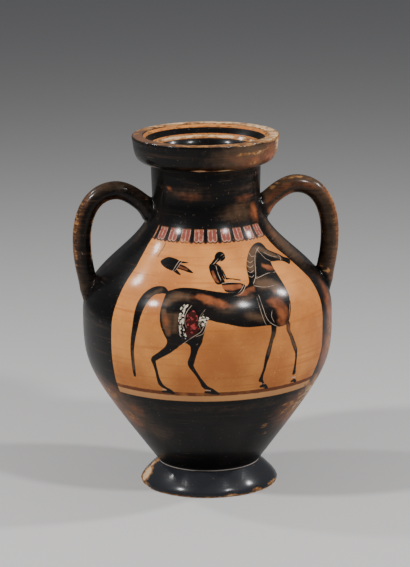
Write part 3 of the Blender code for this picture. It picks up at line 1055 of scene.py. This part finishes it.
def painted(spots):
    """Every layer at these places: paint in millimetres inside its edge, and wear from 0 to 1."""
    count = len(spots)
    mm = spots * 1000
    radius = radius_of(mm)
    height = mm[:, 2]
    bearing = bearing_of(mm)
    inner = near_inside(mm)
    skin = (abs(radius - outer_radius(height)) < NEAR_OUTER) & ~inner
    layers = {name: np.full(count, -REACH) for name in PAINTS}
    layers["black"][:] = REACH
    for name in ("brown", "rust", "bare"):
        layers[name] = np.zeros(count)
    sheets = [blank(count) for _ in SHEETS]
    for back in (False, True):
        paint_panel(layers, sheets, mm, skin, back)
    for name, sheet in zip(SHEETS, sheets):
        layers[name + "_side"] = sheet["side"]
        layers[name + "_near"] = sheet["near"]
    weather(layers, mm, inner, bearing, height)
    finish_mouth(layers, inner, radius, bearing, height)
    finish_foot(layers, inner, radius, height)
    return layers


def keep(vessel, layers):
    """Writes the layers on the vessel's vertices, where its materials read them."""
    for name, values in layers.items():
        layer = vessel.data.attributes.new(name, "FLOAT", "POINT")
        layer.data.foreach_set("value", values.astype(np.float32))


# Cuts at the handles' seams, the shortest edge left there, and the space that holds them, in metres
SEAM_CUTS = 3
SLIVER = 0.00020
HANDLE_SIDE = 0.022
HANDLE_LOWEST = 0.160
# Smoothing of the seams: how far from them, in metres, and how many times
SMOOTHING = ((0.0034, 6), (0.0024, 8))


def softened(vessel):
    """Blends the handles into the wall, as a thumb presses the clay round their roots."""
    middles = face_middles(vessel) * 1000
    strand = off_wall(middles, near_inside(middles))
    pick(vessel)
    select_faces(vessel, strand)
    bpy.ops.object.mode_set(mode="EDIT")
    bpy.ops.mesh.select_mode(type="FACE")
    bpy.ops.mesh.region_to_loop()
    bpy.ops.object.mode_set(mode="OBJECT")
    on_seam = np.zeros(len(vessel.data.vertices), bool)
    vessel.data.vertices.foreach_get("select", on_seam)
    seam = places(vessel)[on_seam]
    bpy.ops.object.mode_set(mode="EDIT")
    bpy.ops.mesh.select_mode(type="VERT")
    bpy.ops.mesh.select_more()
    bpy.ops.mesh.select_mode(type="FACE")
    bpy.ops.mesh.quads_convert_to_tris(quad_method="BEAUTY", ngon_method="BEAUTY")
    bpy.ops.mesh.subdivide(number_cuts=SEAM_CUTS, smoothness=0, ngon=False)
    bpy.ops.mesh.select_all(action="SELECT")
    bpy.ops.mesh.dissolve_degenerate(threshold=SLIVER)
    bpy.ops.object.mode_set(mode="OBJECT")
    for reach, repeat in SMOOTHING:
        spots = places(vessel)
        gaps = np.full(len(spots), 1.0)
        close = np.flatnonzero((abs(spots[:, 1]) < HANDLE_SIDE) & (spots[:, 2] > HANDLE_LOWEST))
        gaps[close] = np.linalg.norm(spots[close][:, None] - seam[None], axis=2).min(axis=1)
        select_faces(vessel, np.zeros(len(vessel.data.polygons), bool))
        vessel.data.vertices.foreach_set("select", gaps < reach)
        bpy.ops.object.mode_set(mode="EDIT")
        bpy.ops.mesh.select_mode(type="VERT")
        bpy.ops.mesh.vertices_smooth(factor=0.5, repeat=repeat)
        bpy.ops.object.mode_set(mode="OBJECT")


# How many cuts a face gets at a chip and near paint, and how near in millimetres
CHIP_CUTS = 3
FRONT_CUTS = 5
BACK_CUTS = 2
FRONT_REACH = 4.6
BACK_REACH = 4.2
# Heights in millimetres below and above which chips are worked out, and between which paint is cut finer
CHIP_HEIGHTS = (24, 322)
CUT_HEIGHTS = (100, 266)
# Heights in metres between which the wall is made round, and how far off it a place may be
ROUND_HEIGHTS = (0.023, 0.300)
OFF_ROUND = 0.00020
# Chips of the foot and rim: bearing, height, how wide in degrees, how tall and how deep in millimetres
CHIPS = [
    (-87, 7.0, 12, 6.0, 0.9), (-74, 2.0, 8, 2.4, 0.6), (11, 1.2, 7, 1.8, 0.5), (37, 2.2, 6, 2.2, 0.7),
    (60, 2.6, 10, 2.2, 0.5), (150, 2.6, 12, 2.4, 0.6), (-120, 2.0, 6, 2.0, 0.5),
    (-58, 339.6, 3, 1.6, 0.6), (22, 339.4, 3, 1.4, 0.5), (68, 338, 7, 2.4, 0.7), (-160, 338, 8, 2.2, 0.6),
    (120, 338.6, 4, 2, 0.6), (-100, 339.2, 3, 1.6, 0.5),
]


def bites(mm):
    """How deep the chips go at each place, in millimetres."""
    bearing = bearing_of(mm)
    depth = np.zeros(len(mm))
    edge = (mm[:, 2] < CHIP_HEIGHTS[0]) | (mm[:, 2] > CHIP_HEIGHTS[1])
    outer = edge & (radius_of(mm) > outer_radius(mm[:, 2]) - 3)
    for i in np.flatnonzero(outer):
        rough = 0.22 * noise.noise(Vector(mm[i]) * 0.45) + 0.10 * noise.noise(Vector(mm[i]) * 1.3)
        for at, level, wide, tall, deep in CHIPS:
            share = (haze(bearing[i], mm[i, 2], at, level, wide, tall) + rough - 0.35) / 0.2
            share = min(max(share, 0.0), 1.0)
            depth[i] = max(depth[i], deep * share**2 * (3 - 2 * share) * (1 + rough))
    return depth


def chipped(vessel):
    """Takes shallow chips out of the edge of the foot and rim."""
    middles = face_middles(vessel) * 1000
    bearing = bearing_of(middles)
    near = np.maximum.reduce([haze(bearing, middles[:, 2], *chip[:4]) for chip in CHIPS]) > 0.12
    near &= radius_of(middles) > outer_radius(middles[:, 2]) - 4
    cut_finer(vessel, near, CHIP_CUTS)
    spots = places(vessel)
    depth = bites(spots * 1000) / 1000
    radius = np.maximum(radius_of(spots), 1e-6)
    spots[:, :2] *= (1 - depth / radius)[:, None]
    put(vessel, spots)


def paint_edges_cut(vessel):
    """Cuts the faces near an edge of the picture finer, more finely on the front than on the back."""
    for front in (True, False):
        middles = face_middles(vessel)
        mm = middles * 1000
        draft = painted(middles)
        names = ("black", "red", "cream", "worn_red", "flecks") if front else ("black", "red", "cream")
        gap = np.minimum.reduce([abs(draft[name]) for name in names])
        if front:
            gap = np.minimum(gap, np.minimum(draft["line_near"], draft["fine_near"]))
            gap = np.minimum(gap, abs(mm[:, 2] - GROUND_LINE) + 0.5)
        facing = -mm[:, 1] if front else mm[:, 1]
        body = level_with(mm, CUT_HEIGHTS) & (facing > 0.25 * abs(mm[:, 0]))
        near = gap < (FRONT_REACH if front else BACK_REACH)
        cut_finer(vessel, body & near, FRONT_CUTS if front else BACK_CUTS)


def rounded(vessel):
    """Pushes the new corners between the columns out to the turned wall, and returns all places."""
    spots = places(vessel)
    radius = radius_of(spots)
    true_radius = outer_radius(spots[:, 2] * 1000) / 1000
    on_wall = (abs(radius - true_radius) < OFF_ROUND) & level_with(spots, ROUND_HEIGHTS)
    spots[on_wall, :2] *= (true_radius / radius)[on_wall, None]
    put(vessel, spots)
    return spots


softened(vessel)
chipped(vessel)
paint_edges_cut(vessel)
keep(vessel, painted(rounded(vessel)))
pick(vessel)
bpy.ops.object.shade_smooth_by_angle(angle=math.radians(50))


# The flat layout of the surface: the picture's island in degrees, the others from heights in millimetres
PICTURE_SIDE = 66
BELLY_ISLAND = (98, 268)
MOUTH_ISLAND = 313


def arc_along(profile, mm):
    """Length along a turned profile, in millimetres, up to the point of it that is nearest each place."""
    line = np.array([tuple(p) for p in profile]) * 1000
    at = np.stack([radius_of(mm), mm[:, 2]], 1)
    nearest_gap = np.full(len(at), np.inf)
    arc = np.zeros(len(at))
    start = 0.0
    for a, b in zip(line, line[1:]):
        run = b - a
        length = np.linalg.norm(run)
        t = np.clip((at - a) @ run / length**2, 0, 1)
        gap = np.linalg.norm(at - a - t[:, None] * run, axis=1)
        closer = gap < nearest_gap
        nearest_gap[closer] = gap[closer]
        arc[closer] = start + t[closer] * length
        start += length
    return arc


def scaled(values, low, high, start, end):
    return start + (values - low) / (high - low) * (end - start)


def unwrapped(vessel):
    """Lays the surface out flat in its own UV map, with the most room for the picture."""
    mesh = vessel.data
    mm = places(vessel) * 1000
    middles = face_middles(vessel) * 1000
    corners = np.zeros(len(mesh.loops), int)
    mesh.loops.foreach_get("vertex_index", corners)
    totals = np.zeros(len(mesh.polygons), int)
    mesh.polygons.foreach_get("loop_total", totals)
    face = np.repeat(np.arange(len(mesh.polygons)), totals)

    def beside(values, middle_values, turn):
        """Angles at the corners, on the same turn as their face's middle."""
        own = middle_values[face]
        return own + (values[corners] - own + turn / 2) % turn - turn / 2

    # Lengths along the outline, and where its foot, panels and mouth begin and end
    skin = outside()[:-1]
    outer_arc = arc_along(skin, mm)
    middle_arc = arc_along(skin, middles)
    inner_arc = arc_along(inside()[:-2], mm)
    stations = [
        (FOOT_RADIUS * 1000, 0, 0.2), (WAIST_RADIUS * 1000, 0, FOOT_HEIGHT * 1000),
        *((outer_radius(level), 0, level) for level in BELLY_ISLAND),
        ((LIP_RADIUS - RIM_WIDTH) * 1000, 0, RIM_Z * 1000),
    ]
    sole_end, waist, low, high, end = arc_along(skin, np.array(stations))
    bearing = bearing_of(mm)
    middle_bearing = bearing_of(middles)
    around = beside(bearing, middle_bearing, 360)
    around_back = beside(bearing, middle_bearing % 360, 360)
    along, out = along_handle(mm)
    middle_out = along_handle(middles)[1]
    half = HANDLE_THICKNESS * 500
    roll = beside(np.arctan2(mm[:, 1], out * half), np.arctan2(middles[:, 1], middle_out * half), math.tau)

    inner = near_inside(middles)
    strand = off_wall(middles, inner)
    right = middles[:, 0] > 0
    mouth = inner & (middles[:, 2] > MOUTH_ISLAND)
    wall = ~inner & ~strand
    belly = wall & (middle_arc > low) & (middle_arc < high)
    picture = belly & (abs(middle_bearing) < PICTURE_SIDE)
    below = wall & (middle_arc > waist) & (middle_arc <= low)
    foot = wall & (middle_arc > sole_end) & (middle_arc <= waist)
    above = wall & (middle_arc >= high)
    underside = wall & (middle_arc <= sole_end)
    ring = (-184, 184)
    strip = (-3.6, 3.6)
    share = (-0.02, 1.02)
    disk = (-68, 68)
    # Each island: its faces, what runs across and up it with the span of each, and its corners on the map
    islands = [
        (picture, around, (-69, 69), outer_arc, (low - 3, high + 3), (0.005, 0.505, 0.695, 0.995)),
        (belly & ~picture, around_back, (62, 298), outer_arc, (low - 3, high + 3),
         (0.005, 0.300, 0.695, 0.495)),
        (below, around, ring, outer_arc, (waist - 3, low + 3), (0.005, 0.205, 0.695, 0.290)),
        (foot, around, ring, outer_arc, (sole_end - 2, waist + 2), (0.005, 0.160, 0.695, 0.196)),
        (above, around, ring, outer_arc, (high - 3, end + 3), (0.005, 0.052, 0.695, 0.150)),
        (mouth, around, ring, mm[:, 2], (308, 342), (0.005, 0.005, 0.695, 0.044)),
        (inner & ~mouth, around, ring, inner_arc, (-2, inner_arc.max() + 2), (0.705, 0.005, 0.995, 0.495)),
        (strand & right, roll, strip, along, share, (0.705, 0.705, 0.845, 0.995)),
        (strand & ~right, roll, strip, along, share, (0.855, 0.705, 0.995, 0.995)),
        (underside, mm[corners, 0], disk, mm[:, 1], disk, (0.705, 0.505, 0.895, 0.695)),
    ]
    flat = np.zeros((len(corners), 2))
    for chosen, across, (first, last), up, (bottom, top), (u0, v0, u1, v1) in islands:
        here = chosen[face]
        flat[here, 0] = scaled(across[here], first, last, u0, u1)
        flat[here, 1] = scaled(up[corners][here], bottom, top, v0, v1)
    layout = mesh.uv_layers.new(name="OFBake")
    layout.data.foreach_set("uv", flat.ravel().astype(np.float32))


unwrapped(vessel)


# Clay, gloss and added colours


# Colours of the fired clay
CLAY_DEEP = (0.385, 0.126, 0.033)
CLAY_LIGHT = (0.65, 0.262, 0.067)
CLAY_RING = (0.34, 0.100, 0.022)
CLAY_SPECK = (0.72, 0.38, 0.16)
TONGUE_OUTLINE = (0.050, 0.018, 0.012)
STRIP_CLAY = (0.52, 0.285, 0.125)
GROUND_WASH = (0.100, 0.027, 0.010)
# Colours of the gloss, where it fired well and where it didn't, and a painted blue-grey sheen for the foot
GLOSS_BLACK = (0.0035, 0.0032, 0.0032)
GLOSS_THIN = (0.010, 0.008, 0.007)
# A painted sheen: the blue-grey of the foot's gloss
PAINTED_FOOT_SHEEN = (0.026, 0.028, 0.033)
GLOSS_STREAK = (0.040, 0.022, 0.013)
GLOSS_BROWN = (0.105, 0.060, 0.034)
RUST_DARK = (0.130, 0.041, 0.018)
RUST_LIGHT = (0.285, 0.088, 0.033)
# A painted highlight: the pale line along the crease of the foot's joint
PAINTED_JOINT_HIGHLIGHT = (0.36, 0.31, 0.28)
GLOSS_SPECK = (0.17, 0.13, 0.10)
SCRATCH = (0.16, 0.105, 0.070)
# Added colours, lines and bare places
CREAM = (0.50, 0.29, 0.20)
TONGUE_RED = (0.215, 0.050, 0.034)
WORN_RED_DARK = (0.040, 0.010, 0.008)
WORN_RED_BRIGHT = (0.30, 0.040, 0.040)
FLECK_WHITE = (0.58, 0.50, 0.38)
INCISED = (0.46, 0.34, 0.25)
BRUSHED = (0.045, 0.020, 0.012)
OCHRE_DARK = (0.140, 0.060, 0.022)
OCHRE_LIGHT = (0.34, 0.165, 0.062)
BARE_PALE = (0.58, 0.385, 0.22)
# Grain that follows the wheel's turns, in waves to the metre
WHEEL_RINGS = (9, 9, 330)
WHEEL_WEAR = (60, 60, 520)
WHEEL_STREAKS = (14, 14, 420)
WHEEL_SCRATCHES = (22, 22, 900)
WHEEL_RIDGES = (10, 10, 420)


class Bench:
    """Mixes the finish of one material from nodes."""

    def __init__(self, name):
        self.material = bpy.data.materials.new(name)
        self.material.use_nodes = True
        self.tree = self.material.node_tree
        self.shader = self.tree.nodes["Principled BSDF"]
        self.object_place = self.tree.nodes.new("ShaderNodeTexCoord").outputs["Object"]

    def join(self, value, socket):
        if isinstance(value, bpy.types.NodeSocket):
            self.tree.links.new(value, socket)
        else:
            socket.default_value = value

    def kept(self, name):
        """A layer that was written on the vertices."""
        node = self.tree.nodes.new("ShaderNodeAttribute")
        node.attribute_name = name
        return node.outputs["Fac"]

    def calc(self, operation, first, second=0.0, third=0.0):
        node = self.tree.nodes.new("ShaderNodeMath")
        node.operation = operation
        for value, socket in zip((first, second, third), node.inputs):
            self.join(value, socket)
        return node.outputs[0]

    def times(self, first, second):
        return self.calc("MULTIPLY", first, second)

    def plus(self, first, second):
        return self.calc("ADD", first, second)

    def minus(self, first, second):
        return self.calc("SUBTRACT", first, second)

    def grain(self, scale, detail=3.0, stretch=(1, 1, 1), roughness=0.55):
        """Cloudy grain, scale in clouds to the metre."""
        shift = self.tree.nodes.new("ShaderNodeMapping")
        shift.inputs["Scale"].default_value = stretch
        self.join(self.object_place, shift.inputs["Vector"])
        node = self.tree.nodes.new("ShaderNodeTexNoise")
        node.inputs["Scale"].default_value = scale
        node.inputs["Detail"].default_value = detail
        node.inputs["Roughness"].default_value = roughness
        self.join(shift.outputs[0], node.inputs["Vector"])
        return node.outputs[0]

    def between(self, value, low, high):
        """0 below low, 1 above high and smooth between."""
        node = self.tree.nodes.new("ShaderNodeMapRange")
        node.interpolation_type = "SMOOTHSTEP"
        self.join(value, node.inputs["Value"])
        self.join(low, node.inputs["From Min"])
        self.join(high, node.inputs["From Max"])
        return node.outputs[0]

    def blend(self, first, second, share):
        """From the first colour to the second."""
        node = self.tree.nodes.new("ShaderNodeMix")
        node.data_type = "RGBA"
        self.join(share, node.inputs[0])
        self.join((*first, 1) if isinstance(first, tuple) else first, node.inputs[6])
        self.join((*second, 1) if isinstance(second, tuple) else second, node.inputs[7])
        return node.outputs[2]

    def wobbled(self, name, amount, scale, edge=0.35):
        """How far inside a painted layer a place lies, with the unsteady edge of a brush."""
        shake = self.times(self.minus(self.grain(scale, 2.0), 0.5), amount * 2)
        return self.between(self.plus(self.kept(name), shake), -edge, edge)

    def thread(self, name, width, edge=0.3):
        """A thin line of a sheet."""
        aside = self.calc("ABSOLUTE", self.kept(name + "_side"))
        line = self.minus(1.0, self.between(aside, width, width + edge))
        close = self.minus(1.0, self.between(self.kept(name + "_near"), 1.3, 1.8))
        return self.times(line, close)


def fired_clay(bench, specks):
    """The orange clay with its throwing rings, and what is washed over it."""
    clouds = bench.grain(16, 5.0)
    rings = bench.grain(1.0, 3.0, WHEEL_RINGS)
    clay = bench.blend(CLAY_DEEP, CLAY_LIGHT, bench.between(clouds, 0.30, 0.72))
    clay = bench.blend(clay, CLAY_RING, bench.times(bench.between(rings, 0.50, 0.70), 0.45))
    clay = bench.blend(clay, CLAY_SPECK, bench.times(bench.between(specks, 0.62, 0.75), 0.35))
    patchy = bench.between(bench.grain(60, 3.0), 0.20, 0.5)
    clay = bench.blend(clay, TONGUE_OUTLINE, bench.times(bench.wobbled("wash", 0.2, 520), patchy))
    clay = bench.blend(clay, STRIP_CLAY, bench.times(bench.wobbled("strip", 0.2, 300), 0.6))
    patchy = bench.between(bench.grain(70, 3.0), 0.05, 0.50)
    ground = bench.times(bench.wobbled("ground", 0.5, 200), patchy)
    return bench.blend(clay, GROUND_WASH, bench.times(ground, 0.92))


def black_gloss(bench, specks, stir):
    """The black gloss, with a painted grey-blue sheen on the foot and a painted highlight along its joint,
    brown and rust where it misfired, with scratches.
    """
    gloss = bench.blend(GLOSS_BLACK, GLOSS_THIN, bench.between(bench.grain(22, 4.0), 0.48, 0.75))
    # Painted sheen: blue-grey on the foot
    gloss = bench.blend(gloss, PAINTED_FOOT_SHEEN, bench.times(bench.kept("foot_sheen"), 0.65))
    streaks = bench.between(bench.grain(1.0, 4.0, WHEEL_STREAKS), 0.58, 0.78)
    gloss = bench.blend(gloss, GLOSS_STREAK, bench.times(streaks, 0.6))
    half_stir = bench.times(stir, 0.5)
    brown = bench.between(bench.plus(bench.kept("brown"), half_stir), 0.12, 0.95)
    gloss = bench.blend(gloss, GLOSS_BROWN, bench.times(brown, 0.9))
    rust = bench.between(bench.plus(bench.kept("rust"), half_stir), 0.14, 1.05)
    rust_tone = bench.blend(RUST_DARK, RUST_LIGHT, bench.between(bench.grain(90, 4.0), 0.35, 0.65))
    gloss = bench.blend(gloss, rust_tone, bench.times(rust, 0.92))
    # Painted highlight: a pale line along the crease of the foot's joint
    gloss = bench.blend(gloss, PAINTED_JOINT_HIGHLIGHT, bench.between(bench.kept("joint_highlight"), 0.72, 0.98))
    gloss = bench.blend(gloss, GLOSS_SPECK, bench.times(bench.between(specks, 0.69, 0.74), 0.6))
    scratches = bench.between(bench.grain(1.0, 2.0, WHEEL_SCRATCHES), 0.71, 0.75)
    return bench.blend(gloss, SCRATCH, bench.times(scratches, 0.45))


def added_colours(bench, colour):
    """Cream and red on the tongues, and the worn red and white of the haunch."""
    patchy = bench.between(bench.grain(300, 3.0), 0.32, 0.52)
    colour = bench.blend(colour, CREAM, bench.times(bench.wobbled("cream", 0.3, 520), patchy))
    patchy = bench.between(bench.grain(260, 3.0), 0.22, 0.48)
    colour = bench.blend(colour, TONGUE_RED, bench.times(bench.wobbled("red", 0.3, 520), patchy))
    worn = bench.wobbled("worn_red", 1.2, 300)
    colour = bench.blend(colour, WORN_RED_DARK, worn)
    patchy = bench.between(bench.grain(300, 3.0), 0.52, 0.58)
    colour = bench.blend(colour, WORN_RED_BRIGHT, bench.times(worn, patchy))
    patchy = bench.between(bench.grain(420, 3.0), 0.48, 0.55)
    return bench.blend(colour, FLECK_WHITE, bench.times(bench.wobbled("flecks", 1.2, 420), patchy))


def painted_clay():
    """Clay, gloss, added colours, lines and wear, from the layers kept on the vessel."""
    bench = Bench("black_figure_clay")
    specks = bench.grain(520, 2.0)
    patches = bench.plus(bench.grain(150, 4.0), bench.grain(1.0, 4.0, WHEEL_WEAR))
    stir = bench.times(bench.minus(patches, 1.0), 0.9)
    black = bench.wobbled("black", 0.25, 420)
    colour = bench.blend(fired_clay(bench, specks), black_gloss(bench, specks, stir), black)
    colour = added_colours(bench, colour)

    thin = bench.between(bench.grain(90, 3.0), 0.28, 0.55)
    lines = bench.times(bench.calc("MAXIMUM", bench.thread("line", 0.09), bench.thread("fine", 0.05)), thin)
    colour = bench.blend(colour, INCISED, bench.times(lines, 0.85))
    colour = bench.blend(colour, BRUSHED, bench.times(bench.thread("brush", 0.24), 0.9))

    bare_here = bench.plus(bench.kept("bare"), stir)
    bare = bench.between(bare_here, 0.42, 0.62)
    ochre = bench.blend(OCHRE_DARK, OCHRE_LIGHT, bench.between(bench.grain(170, 4.0), 0.38, 0.62))
    ochre = bench.blend(ochre, BARE_PALE, bench.between(bare_here, 0.72, 1.02))
    bench.join(bench.blend(colour, ochre, bare), bench.shader.inputs["Base Color"])

    gloss_left = bench.times(black, bench.minus(1.0, bare))
    rough = bench.calc("MULTIPLY_ADD", gloss_left, -0.14, 0.48)
    rough = bench.plus(rough, bench.times(bench.minus(bench.grain(45, 4.0), 0.5), 0.12))
    bench.join(rough, bench.shader.inputs["Roughness"])
    bench.shader.inputs["Specular IOR Level"].default_value = 0.06
    bench.shader.inputs["Coat Weight"].default_value = 0.20
    bench.shader.inputs["Coat Roughness"].default_value = 0.15

    height = bench.times(bench.grain(1.0, 3.0, WHEEL_RIDGES), 0.5)
    height = bench.plus(height, bench.times(bench.grain(240, 4.0), 0.25))
    height = bench.plus(height, bench.times(gloss_left, 0.15))
    height = bench.minus(height, bench.times(lines, 0.35))
    bump = bench.tree.nodes.new("ShaderNodeBump")
    bump.inputs["Strength"].default_value = 0.35
    bump.inputs["Distance"].default_value = 0.0006
    bench.join(height, bump.inputs["Height"])
    bench.join(bump.outputs[0], bench.shader.inputs["Normal"])
    return bench.material


vessel.data.materials.clear()
vessel.data.materials.append(painted_clay())
vessel.data.polygons.foreach_set("material_index", np.zeros(len(vessel.data.polygons), np.int32))


# Surroundings: a pale floor, soft lamps and the camera, in degrees, metres and watts
FLOOR_TONE = (0.47, 0.46, 0.45, 1)
SKY_TONE = (0.9, 0.93, 1.0, 1)
SKY_STRENGTH = 0.17
LAMP_DISTANCE = 1.5
LAMP_AIM = 0.2
# Each lamp: name, azimuth from the panel's front toward the right handle, elevation, size and power
LAMPS = [
    ("lamp_left", -69, 40, 0.16, 19),
    ("lamp_right", 33, 43, 0.16, 15),
    ("lamp_far_right", 85, 38, 0.14, 15),
    ("lamp_far_left", -115, 45, 0.15, 9),
]
CAMERA_AZIMUTH = -8.0
CAMERA_PITCH = 13.11
CAMERA_ROLL = -0.65
CAMERA_DISTANCE = 2.756
CAMERA_AIM = 0.1945
CAMERA_ASIDE = -0.00194
CAMERA_LENS = 182.7
SENSOR_WIDTH = 36


def pale_floor():
    alone()
    bpy.ops.mesh.primitive_plane_add(size=30, location=(0, 0, 0))
    floor = bpy.context.object
    floor.name = "floor"
    pale = bpy.data.materials.new("pale_floor")
    pale.use_nodes = True
    shader = pale.node_tree.nodes["Principled BSDF"]
    shader.inputs["Base Color"].default_value = FLOOR_TONE
    shader.inputs["Roughness"].default_value = 0.8
    floor.data.materials.append(pale)


def soft_sky():
    world = bpy.context.scene.world or bpy.data.worlds.new("world")
    bpy.context.scene.world = world
    world.use_nodes = True
    background = world.node_tree.nodes["Background"]
    background.inputs["Color"].default_value = SKY_TONE
    background.inputs["Strength"].default_value = SKY_STRENGTH


def direction(azimuth, elevation):
    """Unit vector from the vessel, azimuth from the panel's front toward the right handle."""
    a = math.radians(azimuth)
    e = math.radians(elevation)
    return Vector((math.cos(e) * math.sin(a), -math.cos(e) * math.cos(a), math.sin(e)))


def softbox(name, azimuth, elevation, size, power):
    """A soft round lamp that looks at the vessel."""
    aim = Vector((0, 0, LAMP_AIM))
    spot = aim + direction(azimuth, elevation) * LAMP_DISTANCE
    lamp = bpy.data.lights.new(name, "AREA")
    lamp.shape = "DISK"
    lamp.size = size
    lamp.energy = power
    holder = bpy.data.objects.new(name, lamp)
    bpy.context.collection.objects.link(holder)
    holder.location = spot
    holder.rotation_euler = (aim - spot).to_track_quat("-Z", "Y").to_euler()


def look():
    """The camera at the photograph's angle."""
    a = math.radians(CAMERA_AZIMUTH)
    right = Vector((math.cos(a), math.sin(a), 0))
    aim = Vector((0, 0, CAMERA_AIM)) + right * CAMERA_ASIDE
    back = direction(CAMERA_AZIMUTH, CAMERA_PITCH)
    camera = bpy.data.objects.new("camera", bpy.data.cameras.new("camera"))
    bpy.context.collection.objects.link(camera)
    camera.location = aim + back * CAMERA_DISTANCE
    turn = (-back).to_track_quat("-Z", "Y").to_matrix().to_4x4()
    roll = Matrix.Rotation(math.radians(CAMERA_ROLL), 4, "Z")
    camera.rotation_euler = (turn @ roll).to_euler()
    camera.data.lens = CAMERA_LENS
    camera.data.sensor_width = SENSOR_WIDTH
    camera.data.clip_end = 100
    bpy.context.scene.camera = camera


pale_floor()
soft_sky()
for lamp in LAMPS:
    softbox(*lamp)
look()

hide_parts("amphora")
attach(vessel, "root")
